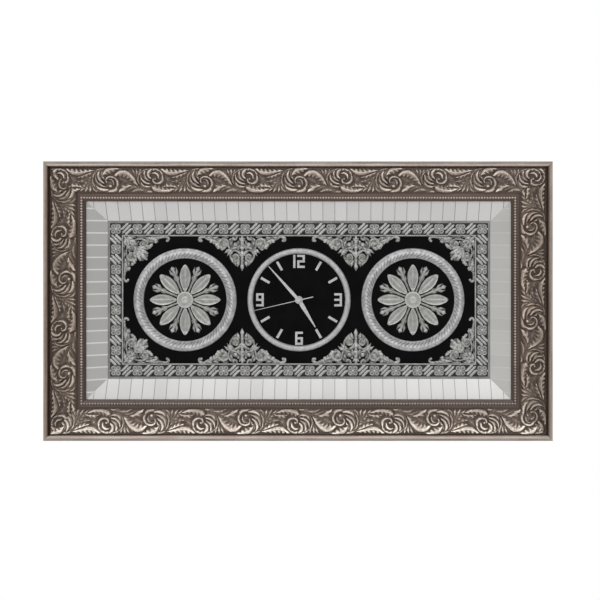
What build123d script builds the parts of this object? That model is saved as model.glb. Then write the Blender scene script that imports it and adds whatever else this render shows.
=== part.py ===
from build123d import *
import math
import os

# A framed wall clock: carved moulding, tiled sloping liner, black panel with three round fields.
# Sizes are millimetres. x runs right, z runs up and the front faces -y.
# "out" is a distance from the wall plane towards the viewer, so out = -y.

# frame
frame_width = 780.0
frame_height = 428.0
fit_gap = 0.3
press_gap = 0.05
run_gap = 0.05
overrun = 1.0

# moulding, from the outer edge inwards
lip_width = 7.2
lip_round = 1.6
groove_width = 1.8
band_width = 39.0
step_width = 5.0
bead_width = 4.2
sight_width = 3.3
rabbet_width = 6.0
rail_width = lip_width + groove_width + band_width + step_width + bead_width + sight_width

# sloping liner and its scored tiles
liner_width = 29.5
liner_thick = 3.0
liner_foot = 6.0
liner_edge = 1.6
liner_rise = 10.0
score_width = 0.5
score_depth = 0.35
tile_count_across = 32
tile_count_up = 13

# depth stack, from the wall outwards
wall_gap = 0.4
knob_thick = 1.6
knob_gap = 0.2
shell = 1.6
battery_radius = 7.25
battery_gap = 0.3
gasket_thick = 0.8
panel_thick = 4.0
board_thick = 3.0
case_back = wall_gap + knob_thick + knob_gap
case_floor = case_back + shell
case_roof = wall_gap + 2 * battery_radius + battery_gap
case_front = case_roof + shell
panel_back = case_front + gasket_thick
panel_front = panel_back + panel_thick
board_back = panel_back - board_thick
rabbet_out = panel_front + liner_edge + liner_rise

# front levels of the moulding
sight_edge = 2.5
sight_rise = 1.8
bead_height = 1.5
band_foot = 1.0
band_slope = 4.5
band_swell = 1.5
groove_drop = 1.5
lip_rise = 5.0
sight_out = rabbet_out + sight_edge
step_out = sight_out + sight_rise
band_inner_out = step_out + band_foot
band_outer_out = band_inner_out + band_slope
groove_out = band_outer_out - groove_drop
lip_out = band_outer_out + lip_rise

# panel and its raised edging
panel_width = frame_width - 2 * (rail_width + liner_width)
panel_height = frame_height - 2 * (rail_width + liner_width)
panel_margin = 5.0
slip_width = 3.6
slip_thick = 1.2
border_width = 18.6
border_thick = 0.8
fillet_width = 1.9
fillet_thick = 1.4
edging_width = slip_width + border_width + fillet_width
field_width = panel_width - 2 * edging_width
field_height = panel_height - 2 * edging_width

# three round fields side by side, as large as the field takes
ring_count = 3
ring_margin = 18.9
ring_side = 16.2
ring_gap = 16.7
ring_room = field_width - 2 * ring_side - (ring_count - 1) * ring_gap
ring_radius = min(field_height / 2 - ring_margin, ring_room / (2 * ring_count))
circle_radius = ring_radius + ring_margin
roundel_place = field_width / 2 - ring_side - ring_radius
rope_width = 16.2
rope_height = 5.0
dial_ring_width = 8.8
dial_ring_height = 4.5

# pierced ornaments in the corners and between the rings
ornament_thick = 1.6
ornament_reach_share = 0.63
lobe_radius_share = 0.034
lobe_count = 6
lobe_end_share = 0.9
eye_radius_share = 0.03
eye_side_shares = (0.13, 0.3)
eye_drop_shares = (0.34, 0.16)
palm_radius_share = 0.065
palm_step_share = 0.07
palm_angle = 45.0
middle_side_share = 0.8945
ornament_reach = circle_radius * ornament_reach_share
lobe_radius = circle_radius * lobe_radius_share
eye_radius = circle_radius * eye_radius_share
palm_radius = circle_radius * palm_radius_share
palm_step = circle_radius * palm_step_share

# rosettes in the two side rings
motif_thick = 2.0
motif_margin = 8.8
motif_reach = ring_radius - rope_width - motif_margin
petal_count = 8
petal_start_share = 0.215
petal_radius_share = 0.535
boss_radius_share = 0.16
boss_bore_share = 0.07
bud_radius_share = 0.08
bud_ring_share = 0.93
bud_arm_share = 0.07
petal_start = motif_reach * petal_start_share
petal_length = motif_reach - petal_start
petal_radius = motif_reach * petal_radius_share
boss_radius = motif_reach * boss_radius_share
boss_bore = motif_reach * boss_bore_share
bud_radius = motif_reach * bud_radius_share
bud_ring = motif_reach * bud_ring_share
bud_arm = motif_reach * bud_arm_share

# dial marks, drawn to the clear radius of the dial
mark_thick = 1.2
mark_gap = 3.2
bar_length_share = 0.216
bar_width_share = 0.053
digit_height_share = 0.285
digit_width_share = 0.166
digit_stroke_share = 0.047
digit_ring_share = 0.836
digit_side_share = 0.849
digit_spacing_share = 0.039
dial_radius = ring_radius - dial_ring_width
bar_outer = dial_radius - mark_gap
bar_inner = bar_outer - dial_radius * bar_length_share
bar_width = dial_radius * bar_width_share
digit_height = dial_radius * digit_height_share
digit_width = dial_radius * digit_width_share
digit_stroke = dial_radius * digit_stroke_share
digit_ring = dial_radius * digit_ring_share
digit_side = dial_radius * digit_side_share
digit_spacing = dial_radius * digit_spacing_share

# hands; the angles are clockwise from the top and show the pictured time
hand_thick = 0.8
hand_gap = 0.6
hand_rise = 1.0
minute_gap = 1.7
minute_length = dial_radius - minute_gap
minute_belly = 4.9
minute_tip = 1.2
minute_hub = 4.6
minute_angle = 318.3
hour_length_share = 0.69
hour_length = dial_radius * hour_length_share
hour_belly = 6.5
hour_tip = 1.3
hour_hub = 6.1
hour_angle = 148.8
second_gap = 1.2
second_length = dial_radius - second_gap
second_belly = 1.1
second_tip = 0.6
second_tail = 23.0
second_tail_width = 1.5
second_hub = 3.0
second_angle = 256.9
root_share = 0.45
belly_share = 0.24

# hand shafts
second_arbor = 0.75
minute_bore = second_arbor + run_gap
minute_tube = 1.75
hour_bore = minute_tube + run_gap
hour_tube = 2.55
bush_bore = hour_tube + run_gap
bush_radius = 4.0
bush_flange_radius = 5.5
bush_flange = 1.0
washer_radius = 5.8
washer_thick = 0.6
nut_across = 10.4
nut_thick = 2.2
bush_proud = 0.6
gasket_radius = 12.0
bush_end = panel_front + washer_thick + nut_thick + bush_proud
hour_hand_out = bush_end + hand_gap
hour_end = hour_hand_out + hand_thick + hand_gap
minute_hand_out = hour_end + hand_rise
minute_end = minute_hand_out + hand_thick + hand_gap
second_hand_out = minute_end + hand_rise
second_end = second_hand_out + hand_thick + hand_gap
collar_wall = 0.9

# movement case: as wide as the cell with its contacts, as high as the bay, train and coil
battery_body = 49.0
battery_nub = 1.0
battery_nub_radius = 2.75
contact_room = 1.4
case_inner = battery_body + battery_nub + 2 * contact_room
case_size = case_inner + 2 * shell
case_split = 9.0
wall_thick = 0.8
bay_top = -10.4
bay_wall_foot = bay_top - wall_thick
battery_z = bay_wall_foot - battery_radius - battery_gap
battery_out = wall_gap + battery_radius
battery_foot_gap = 0.4
case_low = battery_z - battery_radius - battery_foot_gap
contact_thick = 0.4
contact_height = 9.0
contact_deep = 8.0
contact_radius = 3.2

# wheels: teeth, modules in millimetres and levels
pressure_angle = math.radians(28.0)
addendum_share = 0.85
dedendum_share = 1.25
slack_share = 0.12
flank_steps = 3
wheel_thick = 0.8
wheel_gap = 0.4
pinion_proud = 0.2
train_module = 0.36
third_module = 0.30
rotor_module = 0.30
motion_module = 0.50
rotor_teeth = 10
inter_wheel_teeth = 60
inter_pinion_teeth = 10
second_wheel_teeth = 50
second_pinion_teeth = 8
third_wheel_teeth = 60
third_pinion_teeth = 8
drive_teeth = 64
cannon_teeth = 12
motion_wheel_teeth = 36
motion_pinion_teeth = 10
hour_teeth = 40
inter_distance = train_module * (inter_pinion_teeth + second_wheel_teeth) / 2
third_distance = third_module * (second_pinion_teeth + third_wheel_teeth) / 2
drive_module = 2 * third_distance / (third_pinion_teeth + drive_teeth)
motion_distance = motion_module * (cannon_teeth + motion_wheel_teeth) / 2
hour_module = 2 * motion_distance / (motion_pinion_teeth + hour_teeth)
rotor_distance = rotor_module * (rotor_teeth + inter_wheel_teeth) / 2
inter_angle = 180.0
third_angle = 20.0
motion_angle = 100.0
rotor_angle = 100.0
inter_out = case_floor + wheel_gap
second_out = inter_out + wheel_thick + wheel_gap
third_out = second_out + wheel_thick + wheel_gap
drive_out = third_out + wheel_thick + wheel_gap
plate_out = drive_out + wheel_thick + wheel_gap
plate_thick = 0.8
motion_out = plate_out + plate_thick + wheel_gap
hour_out = motion_out + wheel_thick + wheel_gap
arbor_radius = 0.5
pivot_radius = 0.4
pivot_deep = 0.8
stem_radius = 0.8
knob_radius = 4.5
knob_notch_count = 12
knob_notch_radius = 0.5
plate_side_gap = 1.4
plate_width = case_inner - 2 * plate_side_gap
plate_top = 19.0
plate_foot = -10.0

# motor and circuit
magnet_radius = 2.5
magnet_length = 2.6
stator_hole = 2.9
stator_out = 6.4
stator_thick = 0.8
stator_side_gap = 2.4
stator_left = stator_side_gap - case_inner / 2
stator_right = -7.5
stator_foot = 6.3
stator_waist = 14.3
stator_leg = 3.5
core_foot = 21.6
core_height = 2.2
core_gap = 2.6
case_high = core_foot + core_height + core_gap
bobbin_wall = 0.6
bobbin_gap = 0.1
bobbin_flange = 0.8
winding_thick = 1.6
flange_proud = 0.15
post_radius = 1.0
plate_post_radius = 1.5
plate_post_inset = 3.0
plate_post_side = plate_width / 2 - plate_post_inset
plate_post_foot = -7.0
plate_post_top = 13.0
board_left = 8.0
board_side_gap = 1.4
board_right = case_inner / 2 - board_side_gap
board_foot = 16.5
board_top_gap = 0.4
board_top = case_high - board_top_gap
board_post = 2.0
circuit_thick = 1.0
circuit_post_inset = 2.5
crystal_radius = 1.0
crystal_length = 6.0
crystal_inset = 4.0
crystal_drop = 2.0
chip_radius = 2.6
chip_height = 1.2
chip_inset = 0.8

# back fittings
window_gap = 5.0
point_width = 8.0
point_long = 13.0
point_bite = 6.0
point_thick = 0.8
point_count_across = 4
point_count_up = 2
points_share = 0.8
nail_leg = 6.0
nail_thick = 0.8
nail_deep = 10.0
nail_sink = 0.2
nail_outer_inset = 16.0
nail_inner_inset = 36.0
hang_inset = 27.0
hang_spacing = 400.0
hang_plate_long = 46.0
hang_plate_wide = 15.0
hang_plate_thick = 1.5
hang_hole = 4.0
hang_pocket_radius = 6.5
hang_pocket_deep = 9.0
screw_inset = 7.0
screw_side = hang_plate_long / 2 - screw_inset
screw_radius = 1.6
screw_head = 3.0
screw_deep = 14.0
hang_height = frame_height / 2 - hang_inset


def slab(outline, out, thick):
    """Prism of an outline drawn as seen from the front, its back face at this out."""
    return extrude(Plane.XZ.offset(out) * outline, amount=thick)


def rod(radius, out, end, x=0, z=0):
    """Round bar from one out to another."""
    return slab(Pos(x, z) * Circle(radius), out, end - out)


def block(left, right, foot, top, out, end):
    """Square-edged block between six limits."""
    outline = Pos((left + right) / 2, (foot + top) / 2) * Rectangle(right - left, top - foot)
    return slab(outline, out, end - out)


def area(points):
    """Face inside a closed run of straight lines."""
    return make_face(Polyline(*points, close=True))


def polar(distance, angle, x=0, z=0):
    """Place at a distance and an angle, counted from +x towards +z."""
    turn = math.radians(angle)
    return x + distance * math.cos(turn), z + distance * math.sin(turn)


def group(shapes):
    """Separate solids that share one node."""
    return Compound([solid for shape in shapes for solid in shape.solids()])


def mitre(length, width):
    """Bar outline along x, outer edge on z = 0, both ends cut at 45 degrees."""
    half = length / 2
    return area([(-half, 0), (half, 0), (half - width, width), (width - half, width)])


def sides(make_bar, width, height):
    """The four bars of a rectangular frame of this outer size."""
    return {
        "bottom": Pos(0, 0, -height / 2) * make_bar(width, True),
        "top": Pos(0, 0, height / 2) * Rot(0, 180, 0) * make_bar(width, True),
        "left": Pos(-width / 2, 0, 0) * Rot(0, 90, 0) * make_bar(height, False),
        "right": Pos(width / 2, 0, 0) * Rot(0, -90, 0) * make_bar(height, False),
    }


def rail_section():
    """Moulding section on the YZ plane: -out first, then the distance across the rail."""
    band_start = lip_width + groove_width
    band_end = band_start + band_width
    bead_start = band_end + step_width
    bead_end = bead_start + bead_width
    rabbet_start = rail_width - rabbet_width
    bend = lip_round * math.sqrt(0.5)
    band_mid_out = (band_inner_out + band_outer_out) / 2 + band_swell
    edges = [
        Polyline(
            (0, 0), (0, rabbet_start), (-rabbet_out, rabbet_start), (-rabbet_out, rail_width),
            (-sight_out, rail_width), (-step_out, bead_end),
        ),
        ThreePointArc(
            (-step_out, bead_end), (-step_out - bead_height, (bead_start + bead_end) / 2),
            (-step_out, bead_start),
        ),
        Polyline((-step_out, bead_start), (-step_out, band_end), (-band_inner_out, band_end)),
        ThreePointArc(
            (-band_inner_out, band_end), (-band_mid_out, (band_start + band_end) / 2),
            (-band_outer_out, band_start),
        ),
        Polyline(
            (-band_outer_out, band_start), (-groove_out, band_start), (-groove_out, lip_width),
            (lip_round - lip_out, lip_width),
        ),
        ThreePointArc(
            (lip_round - lip_out, lip_width),
            (lip_round - lip_out - bend, lip_width - lip_round + bend),
            (-lip_out, lip_width - lip_round),
        ),
        Line((-lip_out, lip_width - lip_round), (-lip_out, lip_round)),
        ThreePointArc(
            (-lip_out, lip_round), (lip_round - lip_out - bend, lip_round - bend),
            (lip_round - lip_out, 0),
        ),
        Line((lip_round - lip_out, 0), (0, 0)),
    ]
    return make_face([edge for curve in edges for edge in curve.edges()])


def rail_bar(length, across):
    """One straight rail with mitred ends."""
    bar = extrude(Plane.YZ.offset(-length / 2) * rail_section(), amount=length)
    return bar & slab(mitre(length, rail_width), -overrun, lip_out + 2 * overrun)


liner_span = rabbet_width + liner_width - fit_gap
liner_front = panel_front + liner_edge


def liner_bar(length, across):
    """One sloping liner strip, scored into tiles that start at the panel corner."""
    tongue = rabbet_width - fit_gap
    section = area([
        (-rabbet_out, 0), (-rabbet_out, tongue), (-liner_front, liner_span),
        (-panel_front, liner_span), (-panel_front, liner_span - liner_foot),
        (liner_thick - rabbet_out, 0),
    ])
    bar = extrude(Plane.YZ.offset(-length / 2) * section, amount=length)
    bar = bar & slab(mitre(length, liner_span), 0, lip_out)
    score = area([
        (score_depth - rabbet_out, tongue), (score_depth - liner_front, liner_span),
        (-lip_out, liner_span), (-lip_out, tongue),
    ])
    cutter = extrude(Plane.YZ.offset(-score_width / 2) * score, amount=score_width)
    tiles = tile_count_across if across else tile_count_up
    run = panel_width if across else panel_height
    return bar - [Pos(run * (k / tiles - 0.5), 0, 0) * cutter for k in range(-1, tiles + 2)]


def strip_maker(width, thick):
    """Maker of flat mitred strips lying on the panel."""
    def make(length, across):
        return slab(mitre(length, width), panel_front, thick)
    return make


def corner_signs():
    return [(sx, sz) for sx in (-1, 1) for sz in (-1, 1)]


def v_nails(gap):
    """Bent steel nails across the mitres, two in each corner."""
    nails = []
    for sx, sz in corner_signs():
        for inset in (nail_outer_inset, nail_inner_inset):
            x = sx * (frame_width / 2 - inset)
            z = sz * (frame_height / 2 - inset)
            leg = nail_leg + gap
            half = nail_thick / 2 + gap
            flat = Pos(x - sx * (leg - half) / 2, z) * Rectangle(leg + half, 2 * half)
            tall = Pos(x, z - sz * (leg - half) / 2) * Rectangle(2 * half, leg + half)
            nails.append(slab(flat + tall, nail_sink - gap, nail_deep + 2 * gap))
    return nails


def point_places():
    """Centres of the flat points on the rabbet wall, with the wall's inward direction."""
    half_w = frame_width / 2 - rail_width + rabbet_width
    half_h = frame_height / 2 - rail_width + rabbet_width
    places = []
    for side in (-1, 1):
        for k in range(point_count_across):
            x = half_w * points_share * (2 * k / (point_count_across - 1) - 1)
            places.append((x, side * half_h, 0, -side))
        for k in range(point_count_up):
            z = half_h * points_share * (2 * k / (point_count_up - 1) - 1) / 2
            places.append((side * half_w, z, -side, 0))
    return places


def retaining_points(gap):
    """Flat steel points that hold the back board in the rabbet."""
    points = []
    for x, z, dx, dz in point_places():
        shift = point_long / 2 - point_bite
        width = (point_long if dx else point_width) + 2 * gap
        height = (point_long if dz else point_width) + 2 * gap
        outline = Pos(x + dx * shift, z + dz * shift) * Rectangle(width, height)
        points.append(slab(outline, board_back - point_thick - gap, point_thick + 2 * gap))
    return points


def hanger_plate(x):
    """Flat eye plate let into the back of the top rail."""
    outline = Pos(x, hang_height) * RectangleRounded(hang_plate_long, hang_plate_wide, hang_plate_wide / 3)
    outline -= Pos(x, hang_height) * Circle(hang_hole)
    plate = slab(outline, 0, hang_plate_thick)
    for side in (-1, 1):
        plate -= hanger_screw(x + side * screw_side, press_gap)
    return plate


def hanger_screw(x, gap):
    """Countersunk wood screw, its head flush with the plate."""
    head = Plane.XZ * Pos(x, hang_height) * Circle(screw_head + gap)
    throat = Plane.XZ.offset(hang_plate_thick) * Pos(x, hang_height) * Circle(screw_radius + gap)
    shank = rod(screw_radius + gap, hang_plate_thick, screw_deep + gap, x, hang_height)
    return loft([head, throat]) + shank


def hanger_cut(x):
    """Recess, hook pocket and screw holes behind one eye plate."""
    outline = Pos(x, hang_height) * RectangleRounded(
        hang_plate_long + 2 * press_gap, hang_plate_wide + 2 * press_gap, hang_plate_wide / 3)
    cut = slab(outline, -overrun, hang_plate_thick + overrun)
    cut += rod(hang_pocket_radius, 0, hang_pocket_deep, x, hang_height)
    for side in (-1, 1):
        place = x + side * screw_side
        cut += rod(screw_radius + press_gap, 0, screw_deep + press_gap, place, hang_height)
    return cut


def ring(width, height, x):
    """Half-round ring lying on the panel."""
    inner = ring_radius - width
    crest = (inner + ring_radius) / 2
    section = make_face([
        Line((ring_radius, -panel_front), (inner, -panel_front)),
        ThreePointArc((inner, -panel_front), (crest, -panel_front - height), (ring_radius, -panel_front)),
    ])
    return Pos(x, 0, 0) * revolve(section, Axis.Y, 360)


def lobes(x, z, first, last):
    """Discs along the arc of a black round field, from one angle in radians to another."""
    shape = Sketch()
    for k in range(lobe_count):
        angle = first + (last - first) * lobe_end_share * k / (lobe_count - 1)
        shape += Pos(*polar(circle_radius, math.degrees(angle), x, z)) * Circle(lobe_radius)
    return shape


def middle_ornament(sx, sz):
    """Scalloped ornament that hangs between two rings."""
    half_h = field_height / 2
    middle = circle_radius * middle_side_share
    drop = circle_radius - math.sqrt(circle_radius ** 2 - middle ** 2)
    arc_z = half_h - circle_radius
    shape = Pos(0, half_h - drop / 2) * Rectangle(2 * ornament_reach, drop)
    shape -= Pos(-middle, arc_z) * Circle(circle_radius)
    shape -= Pos(middle, arc_z) * Circle(circle_radius)
    first = math.acos(middle / circle_radius)
    last = math.acos((middle - ornament_reach) / circle_radius)
    field = Pos(0, 0) * Rectangle(field_width, field_height)
    scallops = lobes(-middle, arc_z, first, last) + lobes(middle, arc_z, math.pi - first, math.pi - last)
    shape += scallops & field
    for side in (-1, 1):
        for out_share, drop_share in zip(eye_side_shares, eye_drop_shares):
            x = side * out_share * ornament_reach
            shape -= Pos(x, half_h - drop_share * drop) * Circle(eye_radius)
    turned = shape if sz > 0 else Rot(0, 0, 180) * shape
    return slab(Pos(sx * roundel_place / 2, 0) * turned, panel_front, ornament_thick)


def corner_ornament(sx, sz):
    """Scalloped ornament that fills one corner of the field."""
    half_w = field_width / 2
    half_h = field_height / 2
    shape = Pos(half_w - ornament_reach / 2, half_h - ornament_reach / 2) * Rectangle(
        ornament_reach, ornament_reach)
    arc_x = roundel_place
    arc_z = half_h - circle_radius
    shape -= Pos(arc_x, arc_z) * Circle(circle_radius)
    field = Pos(0, 0) * Rectangle(field_width, field_height)
    start = math.radians(palm_angle)
    low = math.asin((circle_radius - ornament_reach) / circle_radius)
    high = math.acos((half_w - ornament_reach - arc_x) / circle_radius)
    edge = lobes(arc_x, arc_z, start, low) + lobes(arc_x, arc_z, start, high)
    for k in (-1, 0, 1):
        bend = math.degrees(palm_step / circle_radius) * k
        reach = circle_radius - (palm_step if k == 0 else 0)
        edge += Pos(*polar(reach, palm_angle + bend, arc_x, arc_z)) * Circle(palm_radius)
    shape += edge & field
    shape -= Pos(*polar(circle_radius + palm_radius, palm_angle, arc_x, arc_z)) * Circle(eye_radius)
    plate = slab(shape, panel_front, ornament_thick)
    if sx < 0:
        plate = mirror(plate, about=Plane.YZ)
    if sz < 0:
        plate = mirror(plate, about=Plane.XY)
    return plate


def rosette(x):
    """Petalled plate in the middle of a side ring."""
    centre = petal_start + petal_length / 2
    swing = math.sqrt(petal_radius ** 2 - (petal_length / 2) ** 2)
    petal = Pos(swing, centre) * Circle(petal_radius) & Pos(-swing, centre) * Circle(petal_radius)
    shape = Circle(boss_radius + petal_start / 2)
    for k in range(petal_count):
        turn = Rot(0, 0, 360 * k / petal_count)
        between = Rot(0, 0, 360 * (k + 0.5) / petal_count)
        shape += turn * petal
        shape += between * Pos(0, bud_ring / 2) * Rectangle(bud_arm, bud_ring)
        shape += between * Pos(0, bud_ring) * Circle(bud_radius)
    shape -= Circle(boss_bore)
    return slab(Pos(x, 0) * shape, panel_front, motif_thick)


def digit(strokes, width):
    """Block figure made of straight strokes, centred on its middle."""
    side = (width - digit_stroke) / 2
    half = (digit_height - digit_stroke) / 2
    bars = {
        "top": (0, half, width, digit_stroke),
        "middle": (0, 0, width, digit_stroke),
        "foot": (0, -half, width, digit_stroke),
        "left_up": (-side, half / 2, digit_stroke, half + digit_stroke),
        "left_low": (-side, -half / 2, digit_stroke, half + digit_stroke),
        "right_up": (side, half / 2, digit_stroke, half + digit_stroke),
        "right_low": (side, -half / 2, digit_stroke, half + digit_stroke),
    }
    shape = Sketch()
    for name in strokes:
        x, z, wide, high = bars[name]
        shape += Pos(x, z) * Rectangle(wide, high)
    return shape


def numerals():
    """The four figures of the dial, keyed by node name."""
    two = digit(("top", "right_up", "middle", "left_low", "foot"), digit_width)
    one = Rectangle(digit_stroke, digit_height)
    three = digit(("top", "middle", "foot", "right_up", "right_low"), digit_width)
    six = digit(("top", "left_up", "left_low", "middle", "foot", "right_low"), digit_width)
    pair = digit_width + digit_stroke + digit_spacing
    twelve = Pos((digit_stroke - pair) / 2, 0) * one + Pos((pair - digit_width) / 2, 0) * two
    figures = {
        "numeral_twelve": Pos(0, digit_ring) * twelve,
        "numeral_three": Pos(digit_side, 0) * three,
        "numeral_six": Pos(0, -digit_ring) * six,
        "numeral_nine": Pos(-digit_side, 0) * Rot(0, 0, 180) * six,
    }
    return {name: slab(shape, panel_front, mark_thick) for name, shape in figures.items()}


def hour_bars():
    """Bars at the eight hours that have no figure."""
    bars = []
    for hour in (1, 2, 4, 5, 7, 8, 10, 11):
        bar = Pos(0, (bar_inner + bar_outer) / 2) * Rectangle(bar_width, bar_outer - bar_inner)
        bars.append(slab(Rot(0, 0, -30 * hour) * bar, panel_front, mark_thick))
    return bars


def hand(length, belly, tip, hub, angle, out, bore, tail=None):
    """Tapered hand on a round hub with a collar that grips its shaft."""
    root = belly * root_share
    outline = area([
        (-root, 0), (-belly / 2, length * belly_share), (-tip / 2, length),
        (tip / 2, length), (belly / 2, length * belly_share), (root, 0),
    ])
    outline += Circle(hub)
    if tail:
        tail_length, tail_width = tail
        outline += Pos(0, -tail_length / 2) * Rectangle(tail_width, tail_length)
    plate = slab(Rot(0, 0, -angle) * outline, out, hand_thick)
    plate += rod(bore + collar_wall, out, out + hand_thick + hand_gap)
    return plate - rod(bore, out - overrun, out + hand_thick + hand_gap + overrun)


def involute(angle):
    return math.tan(angle) - angle


def tooth_profile(teeth, module):
    """Radii and half angles up one flank of a tooth."""
    pitch = teeth * module / 2
    base = pitch * math.cos(pressure_angle)
    root = pitch - dedendum_share * module
    tip = pitch + addendum_share * module
    start = base if base > root else root
    half = math.pi / (2 * teeth) * (1 - slack_share)
    flank = []
    for k in range(flank_steps + 1):
        radius = start + (tip - start) * k / flank_steps
        lean = math.acos(base / radius) if radius > base else 0
        flank.append((radius, half + involute(pressure_angle) - involute(lean)))
    return [(root, flank[0][1])] + flank if base > root else flank


def wheel(teeth, module, out, thick, x, z, tooth_at):
    """Toothed disc with one tooth centred on the given angle in degrees."""
    flank = tooth_profile(teeth, module)
    points = []
    for k in range(teeth):
        middle = math.radians(tooth_at) + 2 * math.pi * k / teeth
        for radius, half in flank:
            points.append((radius * math.cos(middle - half), radius * math.sin(middle - half)))
        for radius, half in reversed(flank):
            points.append((radius * math.cos(middle + half), radius * math.sin(middle + half)))
    return slab(Pos(x, z) * area(points), out, thick)


def gap_towards(angle, teeth):
    """Tooth angle that turns a gap to a partner standing the other way."""
    return angle + 180 + 180 / teeth


inter_x, inter_z = polar(inter_distance, inter_angle)
third_x, third_z = polar(third_distance, third_angle)
motion_x, motion_z = polar(motion_distance, motion_angle)
rotor_x, rotor_z = polar(rotor_distance, rotor_angle, inter_x, inter_z)
pinion_length = wheel_thick + wheel_gap + pinion_proud


def second_wheel():
    """Seconds wheel with its pinion and the long centre arbor."""
    shape = wheel(second_wheel_teeth, train_module, second_out, wheel_thick, 0, 0,
                  gap_towards(inter_angle + 180, second_wheel_teeth))
    shape += wheel(second_pinion_teeth, third_module, second_out + wheel_thick,
                   pinion_length, 0, 0, third_angle)
    return shape + rod(second_arbor, case_floor - pivot_deep + wall_gap, second_end)


def third_wheel():
    """Third wheel and pinion between the seconds and the minutes."""
    shape = wheel(third_wheel_teeth, third_module, third_out, wheel_thick, third_x, third_z,
                  gap_towards(third_angle, third_wheel_teeth))
    shape += wheel(third_pinion_teeth, drive_module, third_out + wheel_thick, pinion_length - pinion_proud,
                   third_x, third_z, third_angle + 180)
    shape += rod(arbor_radius, case_floor + pinion_proud, third_out, third_x, third_z)
    return shape + pivots(third_x, third_z)


def pivots(x, z):
    """Thin ends that run in the case floor and the train plate."""
    return rod(pivot_radius, case_floor - pivot_deep + wall_gap, plate_out + plate_thick, x, z)


def drive_wheel():
    """Minute drive wheel, turning with a slipping fit on the minute tube."""
    shape = wheel(drive_teeth, drive_module, drive_out, wheel_thick, 0, 0,
                  gap_towards(third_angle + 180, drive_teeth))
    return shape - rod(hour_bore, drive_out - overrun, drive_out + wheel_thick + overrun)


def intermediate_wheel():
    """Intermediate wheel and pinion between the rotor and the seconds."""
    shape = wheel(inter_wheel_teeth, rotor_module, inter_out, wheel_thick, inter_x, inter_z,
                  gap_towards(rotor_angle + 180, inter_wheel_teeth))
    shape += wheel(inter_pinion_teeth, train_module, inter_out + wheel_thick, pinion_length,
                   inter_x, inter_z, inter_angle + 180)
    shape += rod(arbor_radius, second_out, plate_out - pinion_proud, inter_x, inter_z)
    return shape + pivots(inter_x, inter_z)


def rotor_pinion():
    """Stepping rotor's pinion and spindle."""
    shape = wheel(rotor_teeth, rotor_module, inter_out - pinion_proud, pinion_length - pinion_proud,
                  rotor_x, rotor_z, rotor_angle + 180)
    return shape + pivots(rotor_x, rotor_z)


def rotor_magnet():
    """Ring magnet pressed on the rotor spindle."""
    start = stator_out + stator_thick / 2 - magnet_length / 2
    shape = rod(magnet_radius, start, start + magnet_length, rotor_x, rotor_z)
    return shape - rod(pivot_radius, start - overrun, start + magnet_length + overrun, rotor_x, rotor_z)


def cannon_pinion():
    """Minute tube with the pinion that drives the motion work."""
    shape = wheel(cannon_teeth, motion_module, motion_out - pinion_proud, wheel_thick + 2 * pinion_proud,
                  0, 0, motion_angle)
    shape += rod(minute_tube, drive_out, minute_end)
    return shape - rod(minute_bore, drive_out - overrun, minute_end + overrun)


def motion_wheel():
    """Motion work wheel and pinion on the setting stem."""
    shape = wheel(motion_wheel_teeth, motion_module, motion_out, wheel_thick, motion_x, motion_z,
                  gap_towards(motion_angle, motion_wheel_teeth))
    shape += wheel(motion_pinion_teeth, hour_module, motion_out + wheel_thick, pinion_length,
                   motion_x, motion_z, motion_angle + 180)
    shape += rod(stem_radius, wall_gap, motion_out, motion_x, motion_z)
    return shape + rod(pivot_radius, motion_out, case_roof + pivot_deep - wall_gap, motion_x, motion_z)


def hour_wheel():
    """Hour wheel on its tube."""
    shape = wheel(hour_teeth, hour_module, hour_out, wheel_thick, 0, 0,
                  gap_towards(motion_angle + 180, hour_teeth))
    shape += rod(hour_tube, hour_out, hour_end)
    return shape - rod(hour_bore, hour_out - overrun, hour_end + overrun)


def set_knob():
    """Notched setting knob on the back end of the stem."""
    outline = Circle(knob_radius)
    for k in range(knob_notch_count):
        outline -= Pos(*polar(knob_radius, 360 * k / knob_notch_count)) * Circle(knob_notch_radius)
    outline -= Circle(stem_radius)
    return slab(Pos(motion_x, motion_z) * outline, wall_gap, knob_thick)


def case_shell(out, end, pocket_out, pocket_end):
    """Tray of the movement case."""
    half = case_size / 2
    inner = case_inner / 2
    tray = block(-half, half, case_low - shell, case_high + shell, out, end)
    return tray - block(-inner, inner, case_low, case_high, pocket_out, pocket_end)


def plate_posts():
    return [
        (-plate_post_side, plate_post_foot), (plate_post_side, plate_post_foot),
        (plate_post_side, plate_post_top),
    ]


def circuit_posts():
    return [
        (board_left + circuit_post_inset, board_top - circuit_post_inset),
        (board_right - circuit_post_inset, board_foot + circuit_post_inset),
    ]


def movement_front():
    """Front half of the case with the battery wall and the inner posts."""
    inner = case_inner / 2 - fit_gap
    shape = case_shell(case_split, case_front, case_split - overrun, case_roof)
    shape += block(-inner, inner, bay_wall_foot, bay_top, case_floor, case_roof + press_gap)
    for x, z in plate_posts():
        shape += rod(plate_post_radius, plate_out + plate_thick, case_roof + press_gap, x, z)
    for x, z in circuit_posts():
        shape += rod(post_radius, case_roof - board_post, case_roof + press_gap, x, z)
    shape -= rod(bush_radius + press_gap, case_roof - overrun, case_front + overrun)
    return shape - rod(pivot_radius + run_gap, case_roof - overrun, case_roof + pivot_deep,
                       motion_x, motion_z)


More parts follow.
